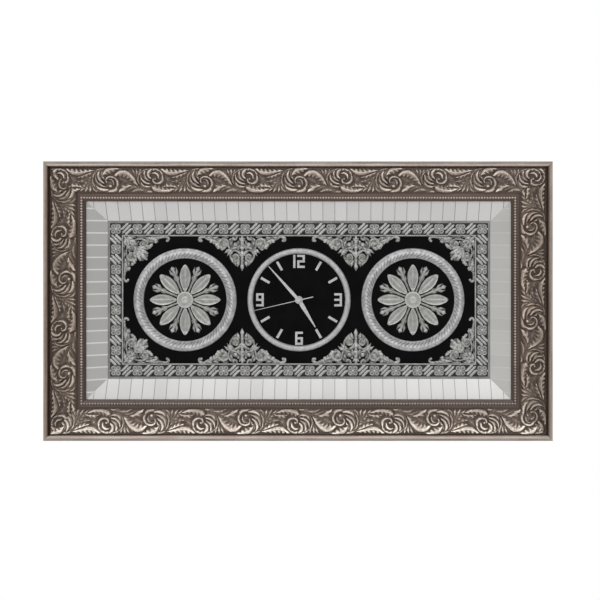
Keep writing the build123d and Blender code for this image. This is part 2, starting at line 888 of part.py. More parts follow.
def movement_back():
    """Back half of the case, open behind the battery."""
    inner = case_inner / 2
    shape = case_shell(case_back, case_split, case_floor, case_split + overrun)
    shape -= block(-inner, inner, case_low, bay_wall_foot, case_back - overrun, case_split)
    for x in (stator_left + post_radius, stator_right - post_radius):
        shape += rod(post_radius, case_floor - press_gap, stator_out, x, rotor_z)
    shape -= rod(stem_radius + run_gap, case_back - overrun, case_floor + overrun, motion_x, motion_z)
    for x, z, radius in (
        (0, 0, second_arbor), (third_x, third_z, pivot_radius),
        (inter_x, inter_z, pivot_radius), (rotor_x, rotor_z, pivot_radius),
    ):
        shape -= rod(radius + run_gap, case_floor - pivot_deep, case_floor + overrun, x, z)
    return shape


def train_plate():
    """Plate that carries the front pivots of the train."""
    half = plate_width / 2
    shape = block(-half, half, plate_foot, plate_top, plate_out, plate_out + plate_thick)
    for x, z, radius in (
        (0, 0, minute_tube), (third_x, third_z, pivot_radius), (inter_x, inter_z, pivot_radius),
        (rotor_x, rotor_z, pivot_radius), (motion_x, motion_z, stem_radius),
    ):
        shape -= rod(radius + run_gap, plate_out - overrun, plate_out + plate_thick + overrun, x, z)
    return shape


def threaded_bush():
    """Brass bush that clamps the movement to the panel."""
    shape = rod(bush_flange_radius, case_roof - bush_flange, case_roof)
    shape += rod(bush_radius, case_roof, bush_end)
    return shape - rod(bush_bore, case_roof - bush_flange - overrun, bush_end + overrun)


def stator():
    """Soft iron plate round the rotor, with the bar that passes through the coil."""
    end = stator_out + stator_thick
    core_top = core_foot + core_height
    shape = block(stator_left, stator_right, stator_foot, core_top, stator_out, end)
    shape -= block(stator_left + stator_leg, stator_right - stator_leg, stator_waist, core_foot,
                   stator_out - overrun, end + overrun)
    return shape - rod(stator_hole, stator_out - overrun, end + overrun, rotor_x, rotor_z)


def coil_layer(margin, wall, left, right):
    """Rectangular sleeve round the core bar."""
    foot = core_foot - margin
    top = core_foot + core_height + margin
    out = stator_out - margin
    end = stator_out + stator_thick + margin
    sleeve = block(left, right, foot - wall, top + wall, out - wall, end + wall)
    return sleeve - block(left - overrun, right + overrun, foot, top, out, end)


coil_left = stator_left + stator_leg + fit_gap
coil_right = stator_right - stator_leg - fit_gap


def coil_bobbin():
    """Bobbin with two flanges."""
    flange_wall = bobbin_wall + winding_thick + flange_proud
    shape = coil_layer(bobbin_gap, bobbin_wall, coil_left, coil_right)
    shape += coil_layer(bobbin_gap, flange_wall, coil_left, coil_left + bobbin_flange)
    return shape + coil_layer(bobbin_gap, flange_wall, coil_right - bobbin_flange, coil_right)


def coil_winding():
    """Copper winding between the flanges."""
    return coil_layer(bobbin_gap + bobbin_wall, winding_thick, coil_left + bobbin_flange,
                      coil_right - bobbin_flange)


circuit_front = case_roof - board_post
circuit_back = circuit_front - circuit_thick


def circuit_parts():
    """Crystal can and sealed chip on the back of the circuit board."""
    left = board_left + crystal_inset
    can = Plane.YZ.offset(left) * Pos(crystal_radius - circuit_back, board_top - crystal_drop) * Circle(
        crystal_radius)
    chip_x = board_right - chip_inset - chip_radius
    chip_z = board_foot + chip_inset + chip_radius
    chip = rod(chip_radius, circuit_back - chip_height, circuit_back, chip_x, chip_z)
    return group([extrude(can, amount=crystal_length), chip])


def bar_along(radius, left, right):
    """Round bar along x on the battery's axis."""
    return extrude(Plane.YZ.offset(left) * Pos(-battery_out, battery_z) * Circle(radius), amount=right - left)


battery_left = -(battery_body + battery_nub) / 2
battery_right = battery_left + battery_body


def battery():
    """Single cell lying along the foot of the case."""
    shape = bar_along(battery_radius, battery_left, battery_right)
    return shape + bar_along(battery_nub_radius, battery_right, battery_right + battery_nub)


def contact(side):
    """Flat spring contact at one end of the battery."""
    wall = case_inner / 2
    reach = battery_right + battery_nub + run_gap if side > 0 else -battery_left + run_gap
    half = contact_height / 2
    near = wall - contact_thick
    left, right = (near, wall) if side > 0 else (-wall, -near)
    plate = block(left, right, battery_z - half, battery_z + half,
                  battery_out - contact_deep / 2, battery_out + contact_deep / 2)
    dimple = (reach, near) if side > 0 else (-near, -reach)
    return plate + bar_along(contact_radius, *dimple)


def back_board():
    """Hardboard behind the panel with a window for the movement."""
    width = frame_width - 2 * (rail_width - rabbet_width + fit_gap)
    height = frame_height - 2 * (rail_width - rabbet_width + fit_gap)
    board = slab(Rectangle(width, height), board_back, board_thick)
    half = case_size / 2 + window_gap
    margin = shell + window_gap
    return board - block(-half, half, case_low - margin, case_high + margin,
                         board_back - overrun, panel_back + overrun)


def panel():
    """Black panel, its edge held behind the foot of the liner."""
    outline = Rectangle(panel_width + 2 * panel_margin, panel_height + 2 * panel_margin)
    outline -= Circle(bush_radius + fit_gap)
    return slab(outline, panel_back, panel_thick)


def washer(radius, thick, out):
    return slab(Circle(radius) - Circle(bush_radius + press_gap), out, thick)


def frame_nodes():
    """Moulding, liner, panel and edging."""
    nodes = {}
    cuts = v_nails(press_gap) + retaining_points(press_gap)
    rails = sides(rail_bar, frame_width, frame_height)
    hooks = [hanger_cut(side * hang_spacing / 2) for side in (-1, 1)]
    for name, bar in rails.items():
        nodes[name + "_rail"] = bar - cuts - hooks if name == "top" else bar - cuts
    liner_out = 2 * (rail_width - rabbet_width + fit_gap)
    for name, bar in sides(liner_bar, frame_width - liner_out, frame_height - liner_out).items():
        nodes["liner_" + name] = bar
    nodes["dial_panel"] = panel()
    slips = sides(strip_maker(slip_width, slip_thick), panel_width, panel_height)
    nodes["slip_strips"] = group(slips.values())
    inset = 2 * slip_width
    borders = sides(strip_maker(border_width, border_thick), panel_width - inset, panel_height - inset)
    for name, strip in borders.items():
        nodes["border_" + name] = strip
    inset += 2 * border_width
    fillets = sides(strip_maker(fillet_width, fillet_thick), panel_width - inset, panel_height - inset)
    nodes["fillet_strips"] = group(fillets.values())
    nodes["corner_v_nails"] = group(v_nails(0))
    nodes["retaining_points"] = group(retaining_points(0))
    nodes["back_board"] = back_board()
    nodes["hanger_plates"] = group([hanger_plate(side * hang_spacing / 2) for side in (-1, 1)])
    nodes["hanger_screws"] = group([
        hanger_screw(side * hang_spacing / 2 + end * screw_side, 0) for side in (-1, 1) for end in (-1, 1)
    ])
    return nodes


def face_nodes():
    """Ornaments, rings, marks and hands."""
    nodes = {
        "corner_ornaments": group([corner_ornament(sx, sz) for sx, sz in corner_signs()]),
        "middle_ornaments": group([middle_ornament(sx, sz) for sx, sz in corner_signs()]),
        "roundel_rings": group([
            ring(rope_width, rope_height, side * roundel_place) for side in (-1, 1)
        ]),
        "rosette_left": rosette(-roundel_place),
        "rosette_right": rosette(roundel_place),
        "dial_ring": ring(dial_ring_width, dial_ring_height, 0),
        "hour_bars": group(hour_bars()),
        "hour_hand": hand(hour_length, hour_belly, hour_tip, hour_hub, hour_angle, hour_hand_out, hour_tube),
        "minute_hand": hand(minute_length, minute_belly, minute_tip, minute_hub, minute_angle,
                            minute_hand_out, minute_tube),
        "second_hand": hand(second_length, second_belly, second_tip, second_hub, second_angle,
                            second_hand_out, second_arbor, (second_tail, second_tail_width)),
    }
    nodes.update(numerals())
    return nodes


def movement_nodes():
    """Quartz movement with its fixings and cell."""
    nut = RegularPolygon(nut_across / 2, 6, major_radius=False) - Circle(bush_radius + press_gap)
    return {
        "movement_front": movement_front(),
        "movement_back": movement_back(),
        "movement_gasket": washer(gasket_radius, gasket_thick, case_front),
        "threaded_bush": threaded_bush(),
        "bush_washer": washer(washer_radius, washer_thick, panel_front),
        "bush_nut": slab(nut, panel_front + washer_thick, nut_thick),
        "train_plate": train_plate(),
        "second_wheel": second_wheel(),
        "third_wheel": third_wheel(),
        "drive_wheel": drive_wheel(),
        "intermediate_wheel": intermediate_wheel(),
        "rotor_pinion": rotor_pinion(),
        "rotor_magnet": rotor_magnet(),
        "cannon_pinion": cannon_pinion(),
        "motion_wheel": motion_wheel(),
        "hour_wheel": hour_wheel(),
        "set_knob": set_knob(),
        "stator": stator(),
        "coil_bobbin": coil_bobbin(),
        "coil_winding": coil_winding(),
        "circuit_board": block(board_left, board_right, board_foot, board_top, circuit_back, circuit_front),
        "circuit_parts": circuit_parts(),
        "battery": battery(),
        "contact_plus": contact(1),
        "contact_minus": contact(-1),
    }


os.makedirs("parts", exist_ok=True)
to_hooks = Pos(0, 0, -hang_height)
for make_nodes in (frame_nodes, face_nodes, movement_nodes):
    for node, shape in make_nodes().items():
        export_step(to_hooks * shape, "parts/" + node + ".step")
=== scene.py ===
import math
import bpy
import numpy as np
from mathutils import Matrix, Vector


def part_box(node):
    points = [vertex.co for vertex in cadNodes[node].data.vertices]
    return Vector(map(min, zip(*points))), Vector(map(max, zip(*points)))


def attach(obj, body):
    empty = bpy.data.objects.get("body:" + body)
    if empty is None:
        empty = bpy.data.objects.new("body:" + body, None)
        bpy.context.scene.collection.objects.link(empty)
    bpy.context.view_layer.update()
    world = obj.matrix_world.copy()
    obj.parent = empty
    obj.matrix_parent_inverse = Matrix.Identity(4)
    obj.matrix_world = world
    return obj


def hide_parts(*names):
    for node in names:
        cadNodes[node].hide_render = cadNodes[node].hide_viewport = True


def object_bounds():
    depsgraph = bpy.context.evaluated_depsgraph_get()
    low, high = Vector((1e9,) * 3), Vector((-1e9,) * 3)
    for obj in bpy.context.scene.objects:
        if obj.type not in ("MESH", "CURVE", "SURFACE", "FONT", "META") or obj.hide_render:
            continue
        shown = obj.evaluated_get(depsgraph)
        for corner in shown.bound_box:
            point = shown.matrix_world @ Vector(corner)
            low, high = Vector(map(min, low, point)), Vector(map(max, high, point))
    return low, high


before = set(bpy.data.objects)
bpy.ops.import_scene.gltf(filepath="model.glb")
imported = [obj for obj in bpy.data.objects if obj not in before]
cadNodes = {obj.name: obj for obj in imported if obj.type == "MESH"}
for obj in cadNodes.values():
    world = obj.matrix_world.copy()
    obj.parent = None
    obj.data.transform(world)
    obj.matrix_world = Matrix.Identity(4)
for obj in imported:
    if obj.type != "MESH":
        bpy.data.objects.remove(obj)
cadLow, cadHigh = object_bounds()
mm = 0.001
white = (1.0, 1.0, 1.0, 1.0)

# places read from the model
ringLow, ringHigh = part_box("dial_ring")
axisZ = (ringLow.z + ringHigh.z) / 2          # height of the hand shaft
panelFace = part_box("dial_panel")[0].y         # front of the black panel, front is -y
halfWide = (cadHigh.x - cadLow.x) / 2
halfHigh = (cadHigh.z - cadLow.z) / 2
middleZ = (cadHigh.z + cadLow.z) / 2

# the black panel as seen inside the liner, in millimetres: its size, the field inside its border, how far
# out a side ring sits, and how many liner tiles run along its sides
panel = {"wide": 600.0, "tall": 248.0, "fieldHalfWide": 275.9, "fieldHalfTall": 99.9, "ringPitch": 178.7,
         "tilesAcross": 32, "tilesUp": 13}


def tint(red, green, blue):
    def one(value):
        share = value / 255
        return share / 12.92 if share <= 0.04045 else ((share + 0.055) / 1.055) ** 2.4
    return one(red), one(green), one(blue), 1.0


def grey(level):
    return level, level, level, 1.0


def browner(level):
    return level, 0.95 * level, 0.9 * level, 1.0


def deselectAll():
    if bpy.context.object and bpy.context.object.mode != "OBJECT":
        bpy.ops.object.mode_set(mode="OBJECT")
    bpy.ops.object.select_all(action="DESELECT")


def pickOnly(piece):
    deselectAll()
    piece.select_set(True)
    bpy.context.view_layer.objects.active = piece


def rename(piece, name):
    piece.name = name
    piece.data.name = name


def joinAll(pieces, name):
    deselectAll()
    for piece in pieces:
        piece.select_set(True)
    bpy.context.view_layer.objects.active = pieces[0]
    if len(pieces) > 1:
        bpy.ops.object.join()
    whole = bpy.context.object
    bpy.ops.object.transform_apply(location=True, rotation=True, scale=True)
    rename(whole, name)
    return whole


def copyOf(piece):
    twin = piece.copy()
    twin.data = piece.data.copy()
    bpy.context.collection.objects.link(twin)
    return twin


def openMesh(piece):
    pickOnly(piece)
    bpy.ops.object.mode_set(mode="EDIT")
    bpy.ops.mesh.select_all(action="SELECT")


def closeMesh(angle):
    # out of edit mode, smooth up to the angle
    bpy.ops.object.mode_set(mode="OBJECT")
    bpy.ops.object.shade_smooth_by_angle(angle=math.radians(angle))


def pickRim():
    # the open edges of the mesh
    bpy.ops.mesh.select_mode(type="EDGE")
    bpy.ops.mesh.select_all(action="DESELECT")
    bpy.ops.mesh.select_non_manifold()


def fillRim(angle):
    # one face over the picked edges
    bpy.ops.mesh.edge_face_add()
    bpy.ops.mesh.select_all(action="SELECT")
    bpy.ops.mesh.normals_make_consistent(inside=False)
    closeMesh(angle)


def fixNormals(piece):
    openMesh(piece)
    bpy.ops.mesh.normals_make_consistent(inside=False)
    bpy.ops.object.mode_set(mode="OBJECT")


def addBall(radius, place=(0, 0, 0), segments=10):
    deselectAll()
    bpy.ops.mesh.primitive_uv_sphere_add(segments=segments, ring_count=6, radius=radius * mm, location=place,
                                         rotation=(math.pi / 2, 0, 0))
    return bpy.context.object


def cutBack(piece, plane):
    # take off what lies behind the plane and close the cut
    openMesh(piece)
    bpy.ops.mesh.bisect(plane_co=(0, plane, 0), plane_no=(0, 1, 0), use_fill=True, clear_outer=True)
    closeMesh(50)


def mountOn(piece, finish, slotName, *replaced):
    piece.data.materials.clear()
    piece.data.materials.append(finish)
    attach(piece, "clock")
    if replaced:
        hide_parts(*replaced)


def readPoints(piece):
    flat = np.empty(len(piece.data.vertices) * 3)
    piece.data.vertices.foreach_get("co", flat)
    return flat.reshape(-1, 3)


def writePoints(piece, points):
    piece.data.vertices.foreach_set("co", points.ravel())
    piece.data.update()


def markPoints(piece, label, values):
    # one number for each point, which a finish reads
    mark = piece.data.attributes.new(label, "FLOAT", "POINT")
    mark.data.foreach_set("value", np.ascontiguousarray(values, dtype=np.float32))


def ease(values, start, span):
    # 0 up to the start, then rising to 1 across the span
    return np.clip((values - start) / span, 0, 1)


# finishes are node trees on Object coordinates or on a piece's own attribute


def startFinish(name):
    finish = bpy.data.materials.new(name)
    finish.use_nodes = True
    tree = finish.node_tree
    tree.nodes.clear()
    shader = tree.nodes.new("ShaderNodeBsdfPrincipled")
    output = tree.nodes.new("ShaderNodeOutputMaterial")
    tree.links.new(shader.outputs[0], output.inputs[0])
    coords = tree.nodes.new("ShaderNodeTexCoord").outputs["Object"]
    return finish, tree, shader, coords


def setShader(tree, shader, tone, gloss, metal=0.0, shine=0.5):
    feed(tree, shader.inputs["Base Color"], tone)
    feed(tree, shader.inputs["Roughness"], gloss)
    shader.inputs["Metallic"].default_value = metal
    shader.inputs["Specular IOR Level"].default_value = shine


def feed(tree, socket, value):
    if isinstance(value, bpy.types.NodeSocket):
        tree.links.new(value, socket)
    else:
        socket.default_value = value


def addMath(tree, operation, first, second=0.0):
    node = tree.nodes.new("ShaderNodeMath")
    node.operation = operation
    feed(tree, node.inputs[0], first)
    feed(tree, node.inputs[1], second)
    return node.outputs[0]


def addNoise(tree, coords, scale, detail=3.0, stretch=(1, 1, 1), rough=0.5):
    mapping = tree.nodes.new("ShaderNodeMapping")
    mapping.inputs["Scale"].default_value = stretch
    tree.links.new(coords, mapping.inputs["Vector"])
    noise = tree.nodes.new("ShaderNodeTexNoise")
    noise.inputs["Scale"].default_value = scale
    noise.inputs["Detail"].default_value = detail
    noise.inputs["Roughness"].default_value = rough
    tree.links.new(mapping.outputs[0], noise.inputs["Vector"])
    return noise.outputs[0]


def addRamp(tree, value, stops, sharp=False):
    ramp = tree.nodes.new("ShaderNodeValToRGB")
    ramp.color_ramp.interpolation = "CONSTANT" if sharp else "LINEAR"
    marks = ramp.color_ramp.elements
    while len(marks) < len(stops):
        marks.new(1.0)
    for mark, (place, colour) in zip(marks, stops):
        mark.position = place
        mark.color = colour
    tree.links.new(value, ramp.inputs[0])
    return ramp.outputs[0]


def addMix(tree, share, first, second, blend="MIX"):
    node = tree.nodes.new("ShaderNodeMix")
    node.data_type = "RGBA"
    node.blend_type = blend
    feed(tree, node.inputs[0], share)
    feed(tree, node.inputs[6], first)
    feed(tree, node.inputs[7], second)
    return node.outputs[2]


def addWash(tree, tone, share, value, low, dark, high):
    # darken the tone where a pattern is low
    wash = addRamp(tree, value, [(low, tint(*dark)), (high, white)])
    return addMix(tree, share, tone, wash, "MULTIPLY")


def dimWhere(tree, tone, mask, level):
    dim = addRamp(tree, mask, [(0.0, white), (1.0, level)])
    return addMix(tree, 1.0, tone, dim, "MULTIPLY")


def addBump(tree, shader, height, strength, depth):
    bump = tree.nodes.new("ShaderNodeBump")
    bump.inputs["Strength"].default_value = strength
    bump.inputs["Distance"].default_value = depth
    tree.links.new(height, bump.inputs["Height"])
    tree.links.new(bump.outputs[0], shader.inputs["Normal"])


def addRange(tree, value, low, high, newLow, newHigh):
    node = tree.nodes.new("ShaderNodeMapRange")
    for socket, number in zip(node.inputs[1:5], (low, high, newLow, newHigh)):
        socket.default_value = number
    tree.links.new(value, node.inputs[0])
    return node.outputs[0]


def spreadNoise(tree, pattern, low, high):
    # the middle of a noise pattern spread over a range
    return addRange(tree, pattern, 0.3, 0.7, low, high)


def splitAxes(tree, coords):
    node = tree.nodes.new("ShaderNodeSeparateXYZ")
    tree.links.new(coords, node.inputs[0])
    return node.outputs[0], node.outputs[1], node.outputs[2]


def readAttribute(tree, name):
    node = tree.nodes.new("ShaderNodeAttribute")
    node.attribute_name = name
    return node.outputs["Fac"]


def railPlace(tree, coords):
    # share of the rail's width in from the outer edge, 1 on the upright rails and 1 on the bottom rail;
    # rails part at the mitres
    x, y, z = splitAxes(tree, coords)
    fromSide = addMath(tree, "SUBTRACT", halfWide, addMath(tree, "ABSOLUTE", x))
    level = addMath(tree, "SUBTRACT", z, middleZ)
    fromEnd = addMath(tree, "SUBTRACT", halfHigh, addMath(tree, "ABSOLUTE", level))
    inward = addMath(tree, "MINIMUM", fromSide, fromEnd)
    upright = addMath(tree, "LESS_THAN", fromSide, fromEnd)
    below = addMath(tree, "LESS_THAN", z, middleZ)
    bottom = addMath(tree, "SUBTRACT", below, addMath(tree, "MULTIPLY", below, upright))
    return addMath(tree, "DIVIDE", inward, mouldingLook["railWidth"] * mm), upright, bottom


def railRamp(tree, inward, stops, sharp=False):
    # tones at distances in from the outer edge, in millimetres
    return addRamp(tree, inward, [(at / mouldingLook["railWidth"], tone) for at, tone in stops], sharp)


# moulding: each run of the section has its own tone; runs start in millimetres from the outer edge
# painted highlight: the lip's rounded edge is lit brighter, on its inner side along the level rails and its
# outer side on the uprights
mouldingLook = {
    "railWidth": 60.5,
    "lip": (143, 135, 128), "lipHighlight": (185, 174, 166), "line": (46, 33, 27), "paleGrooveShade": (88, 73, 64),
    "ground": (72, 57, 49), "step": (91, 77, 68), "channel": (98, 84, 76), "sightShade": (70, 59, 52),
    "wood": (186, 150, 108), "woodDark": (150, 112, 74),
    # painted shade: the dark line in the groove inside the lip, paler on the uprights, and the dark sight
    # edge
    "levelRuns": (("lip", 0.0), ("lipHighlight", 3.8), ("line", 7.2), ("ground", 9.2), ("step", 47.8),
                  ("channel", 52.9), ("sightShade", 57.3)),
    "uprightRuns": (("lipHighlight", 0.0), ("lip", 3.7), ("paleGrooveShade", 5.9), ("ground", 9.6), ("step", 47.8),
                    ("channel", 52.9), ("sightShade", 57.3)),
    # painted shade: the upright rails are dimmed, and so is the inner step along the bottom rail
    "uprightShade": 0.68, "lowStepShade": 0.78, "lowStepFrom": 0.77,
}


def makeMouldingFinish():
    look = mouldingLook
    finish, tree, shader, coords = startFinish("champagneMoulding")
    inward, upright, bottom = railPlace(tree, coords)
    level, standing = (
        railRamp(tree, inward, [(at, tint(*look[run])) for run, at in look[runs]], sharp=True)
        for runs in ("levelRuns", "uprightRuns"))
    painted = addMix(tree, upright, level, standing)
    # painted shade: the inner step is darker along the bottom rail
    low = addMath(tree, "MULTIPLY", bottom, addMath(tree, "GREATER_THAN", inward, look["lowStepFrom"]))
    painted = dimWhere(tree, painted, low, grey(look["lowStepShade"]))
    streak = addNoise(tree, coords, 160.0, 3.0, rough=0.7)
    painted = addWash(tree, painted, 0.55, addNoise(tree, coords, 26.0, 5.0), 0.3, (215, 208, 203), 0.7)
    painted = addWash(tree, painted, 0.5, streak, 0.35, (226, 220, 214), 0.75)
    # the back is bare wood, its grain along each rail
    normal = tree.nodes.new("ShaderNodeNewGeometry").outputs["Normal"]
    bare = addMath(tree, "GREATER_THAN", splitAxes(tree, normal)[1], 0.5)
    grain = addMix(tree, upright, addNoise(tree, coords, 30.0, 6.0, (0.25, 2.0, 2.0), 0.6),
                   addNoise(tree, coords, 34.0, 6.0, (2.0, 2.0, 0.25), 0.6))
    fibre = addMix(tree, upright, addNoise(tree, coords, 420.0, 2.0, (0.03, 1.0, 1.0)),
                   addNoise(tree, coords, 420.0, 2.0, (1.0, 1.0, 0.03)))
    wood = addRamp(tree, grain, [(0.3, tint(*look["woodDark"])), (0.7, tint(*look["wood"]))])
    wood = addWash(tree, wood, 0.7, fibre, 0.36, (196, 186, 176), 0.6)
    # painted shade: the upright rails are dimmed and browned
    painted = dimWhere(tree, painted, upright, browner(look["uprightShade"]))
    # the leaf was brushed on along each rail
    painted = addWash(tree, painted, 0.8, fibre, 0.34, (206, 198, 191), 0.56)
    tone = addMix(tree, bare, painted, wood)
    setShader(tree, shader, tone, spreadNoise(tree, streak, 0.34, 0.5), 0.25, 0.4)
    addBump(tree, shader, streak, 0.12, 0.4 * mm)
    return finish


# carved relief: dark wash left in the hollows, leaf rubbed bright on the ridges; painted shade across each
# rail and a painted highlight along the bottom rail
carvedLook = {
    "hollow": (42, 31, 25), "ground": (85, 71, 61), "flank": (109, 94, 83), "top": (148, 132, 121),
    "rubbed": (252, 243, 231), "uprightShade": 0.72,
    # painted shade: level of tone at each distance in from the outer edge, in millimetres, for the top,
    # bottom and upright rails
    "topPaintedShade": ((10, 0.7), (18, 0.87), (28, 0.66), (36, 0.74), (45, 1.0)),
    "bottomPaintedShade": ((24, 1.0), (32, 0.88), (40, 0.72), (46, 0.76)),
    "sidePaintedShade": ((13, 0.72), (20, 0.71), (28, 0.8), (34, 0.96), (44, 1.03)),
    # painted highlight: the glint along the outer half of the bottom rail
    "glint": ((12, 1.0), (22, 1.0), (29, 0.0)), "glintRub": 0.1, "glintGain": 1.2,
}


def makeCarvedFinish():
    look = carvedLook
    finish, tree, shader, coords = startFinish("carvedLeaf")
    rise = readAttribute(tree, "rise")
    crest = readAttribute(tree, "crest")
    grit = addNoise(tree, coords, 420.0, 3.0)
    stand = addMath(tree, "ADD", rise, spreadNoise(tree, addNoise(tree, coords, 45.0, 4.0), -0.08, 0.08))
    tone = addRamp(tree, stand, [(0.05, tint(*look["ground"])), (0.45, tint(*look["flank"])),
                                 (0.95, tint(*look["top"]))])
    inward, upright, bottom = railPlace(tree, coords)
    top, low, side, glint = (
        railRamp(tree, inward, [(at, grey(level)) for at, level in look[name]])
        for name in ("topPaintedShade", "bottomPaintedShade", "sidePaintedShade", "glint"))
    # painted highlight: a glint brightens the ridges on the outer half of the bottom rail
    glint = addMath(tree, "MULTIPLY", bottom, glint)
    rubbingAndGlint = addMath(tree, "ADD", crest, spreadNoise(tree, grit, -0.12, 0.12))
    rubbingAndGlint = addMath(tree, "ADD", rubbingAndGlint, addMath(tree, "MULTIPLY", glint, look["glintRub"]))
    # worn leaf rubbed bright on the ridges, with the glint's painted highlight added
    share = addRange(tree, rubbingAndGlint, 0.6, 1.0, 0.0, 0.75)
    share = addMath(tree, "MULTIPLY", share, addRange(tree, glint, 0.0, 1.0, 1.0, look["glintGain"]))
    tone = addMix(tree, share, tone, tint(*look["rubbed"]))
    tone = addMix(tree, addRange(tree, crest, 0.1, 0.46, 0.75, 0.0), tone, tint(*look["hollow"]))
    tone = addWash(tree, tone, 0.7, addNoise(tree, coords, 150.0, 3.0), 0.32, (216, 212, 208), 0.66)
    # painted shade: the upright rails are dimmed and browned
    tone = dimWhere(tree, tone, upright, browner(look["uprightShade"]))
    # painted shade across the width of each rail
    paintedShade = addMix(tree, upright, addMix(tree, bottom, top, low), side)
    tone = addMix(tree, 1.0, tone, paintedShade, "MULTIPLY")
    setShader(tree, shader, tone, spreadNoise(tree, grit, 0.3, 0.46), 0.3, 0.45)
    addBump(tree, shader, grit, 0.15, 0.3 * mm)
    return finish


# liner: silvered tiles, each a little different; the scored seams are dark across, and up the sides their
# pale tone is a painted highlight; the left liner's darker silver is painted shade
acrossTiles = {"axis": 0, "start": -panel["wide"] / 2 * mm,
               "pitch": panel["wide"] / panel["tilesAcross"] * mm}
upTiles = {"axis": 2, "start": axisZ - panel["tall"] / 2 * mm,
           "pitch": panel["tall"] / panel["tilesUp"] * mm}
linerLooks = {
    "linerAcross": {**acrossTiles, "silver": (167, 166, 165), "pale": (175, 174, 173),
                    "seam": (106, 105, 104), "seamHalf": 0.55 * mm, "score": 0.85, "metal": 0.5},
    # painted shade on the left liner's darker silver; painted highlight on the side liners' pale seams
    "linerLeft": {**upTiles, "silver": (154, 153, 151), "pale": (162, 161, 159),
                  "seam": (204, 203, 201), "seamHalf": 1.1 * mm, "score": 0.9, "metal": 0.4},
    "linerRight": {**upTiles, "silver": (167, 166, 163), "pale": (174, 173, 170),
                   "seam": (190, 189, 186), "seamHalf": 0.9 * mm, "score": 0.5, "metal": 0.4},
}


def makeLinerFinish(name):
    look = linerLooks[name]
    finish, tree, shader, coords = startFinish(name)
    run = splitAxes(tree, coords)[look["axis"]]
    place = addMath(tree, "DIVIDE", addMath(tree, "SUBTRACT", run, look["start"]), look["pitch"])
    chance = tree.nodes.new("ShaderNodeTexWhiteNoise")
    chance.noise_dimensions = "1D"
    tree.links.new(addMath(tree, "FLOOR", place), chance.inputs["W"])
    tone = addMix(tree, addRange(tree, chance.outputs[0], 0.0, 1.0, 0.1, 0.9), tint(*look["silver"]),
                  tint(*look["pale"]))
    tone = addWash(tree, tone, 0.8, addNoise(tree, coords, 11.0, 1.0), 0.1, (236, 236, 235), 0.9)
    # how near the seam, counted from the tile's middle
    middle = addMath(tree, "ABSOLUTE", addMath(tree, "SUBTRACT", addMath(tree, "FRACT", place), 0.5))
    reach = look["seamHalf"] / look["pitch"]
    seam = addRange(tree, middle, 0.5 - 1.3 * reach, 0.5 - 0.5 * reach, 0.0, look["score"])
    # seam tone: dark scoring across, a pale painted highlight up the sides
    tone = addMix(tree, seam, tone, tint(*look["seam"]))
    sheen = addRange(tree, addNoise(tree, coords, 24.0, 0.0), 0.0, 1.0, 0.278, 0.305)
    setShader(tree, shader, tone, sheen, look["metal"])
    return finish


# plain surfaces share one recipe: two tones clouded together, a fine grit and a gloss range
# each has its dark and pale tone, scale of cloud and grit, gloss range, metal, shine and bump
plainLooks = {
    "blackPanel": ((5, 5, 5), (10, 10, 10), 40, 900, (0.28, 0.36), 0.0, 0.03, 0.02),
    "blackGround": ((34, 34, 33), (52, 52, 51), 160, 1200, (0.4, 0.6), 0.0, 0.1, 0.1),
    "greySlip": ((96, 96, 95), (124, 124, 123), 60, 700, (0.35, 0.5), 0.35, 0.4, 0.05),
    "silverLine": ((124, 124, 122), (154, 154, 152), 90, 800, (0.3, 0.45), 0.4, 0.45, 0.05),
    "dialSilver": ((140, 140, 141), (166, 166, 167), 160, 700, (0.42, 0.58), 0.3, 0.45, 0.12),
    "figureSilver": ((148, 148, 148), (172, 172, 172), 150, 900, (0.35, 0.5), 0.35, 0.45, 0.05),
    "handSilver": ((160, 160, 161), (184, 184, 184), 200, 1500, (0.28, 0.36), 0.5, 0.5, 0.04),
    "mouldedBlack": ((24, 24, 25), (36, 36, 38), 90, 2200, (0.45, 0.6), 0.0, 0.35, 0.2),
    "mouldedWhite": ((214, 210, 198), (232, 229, 220), 120, 1800, (0.38, 0.5), 0.0, 0.45, 0.08),
    "turnedBrass": ((176, 138, 66), (214, 178, 102), 140, 1600, (0.28, 0.42), 0.85, 0.5, 0.08),
    "softRubber": ((22, 22, 22), (36, 35, 35), 150, 1400, (0.65, 0.85), 0.0, 0.25, 0.15),
    "softIron": ((104, 104, 106), (138, 138, 140), 150, 1500, (0.38, 0.55), 0.8, 0.5, 0.1),
    "greenBoard": ((26, 82, 46), (44, 112, 64), 260, 1500, (0.35, 0.5), 0.0, 0.4, 0.06),
    "canMetal": ((60, 60, 62), (150, 150, 152), 300, 1500, (0.3, 0.45), 0.5, 0.5, 0.05),
    "mouldedGrey": ((104, 104, 106), (128, 128, 130), 90, 1800, (0.42, 0.55), 0.0, 0.4, 0.12),
    "zincSteel": ((146, 148, 150), (190, 192, 194), 70, 1100, (0.28, 0.45), 0.8, 0.5, 0.08),
}


def makePlainFinish(name):
    dark, pale, cloudScale, gritScale, gloss, metal, shine, bump = plainLooks[name]
    finish, tree, shader, coords = startFinish(name)
    cloud = addNoise(tree, coords, cloudScale, 4.0)
    grit = addNoise(tree, coords, gritScale, 2.0)
    mixed = addMath(tree, "ADD", addMath(tree, "MULTIPLY", cloud, 0.7), addMath(tree, "MULTIPLY", grit, 0.3))
    tone = addRamp(tree, mixed, [(0.36, tint(*dark)), (0.64, tint(*pale))])
    setShader(tree, shader, tone, spreadNoise(tree, grit, *gloss), metal, shine)
    addBump(tree, shader, grit, bump, 0.3 * mm)
    return finish


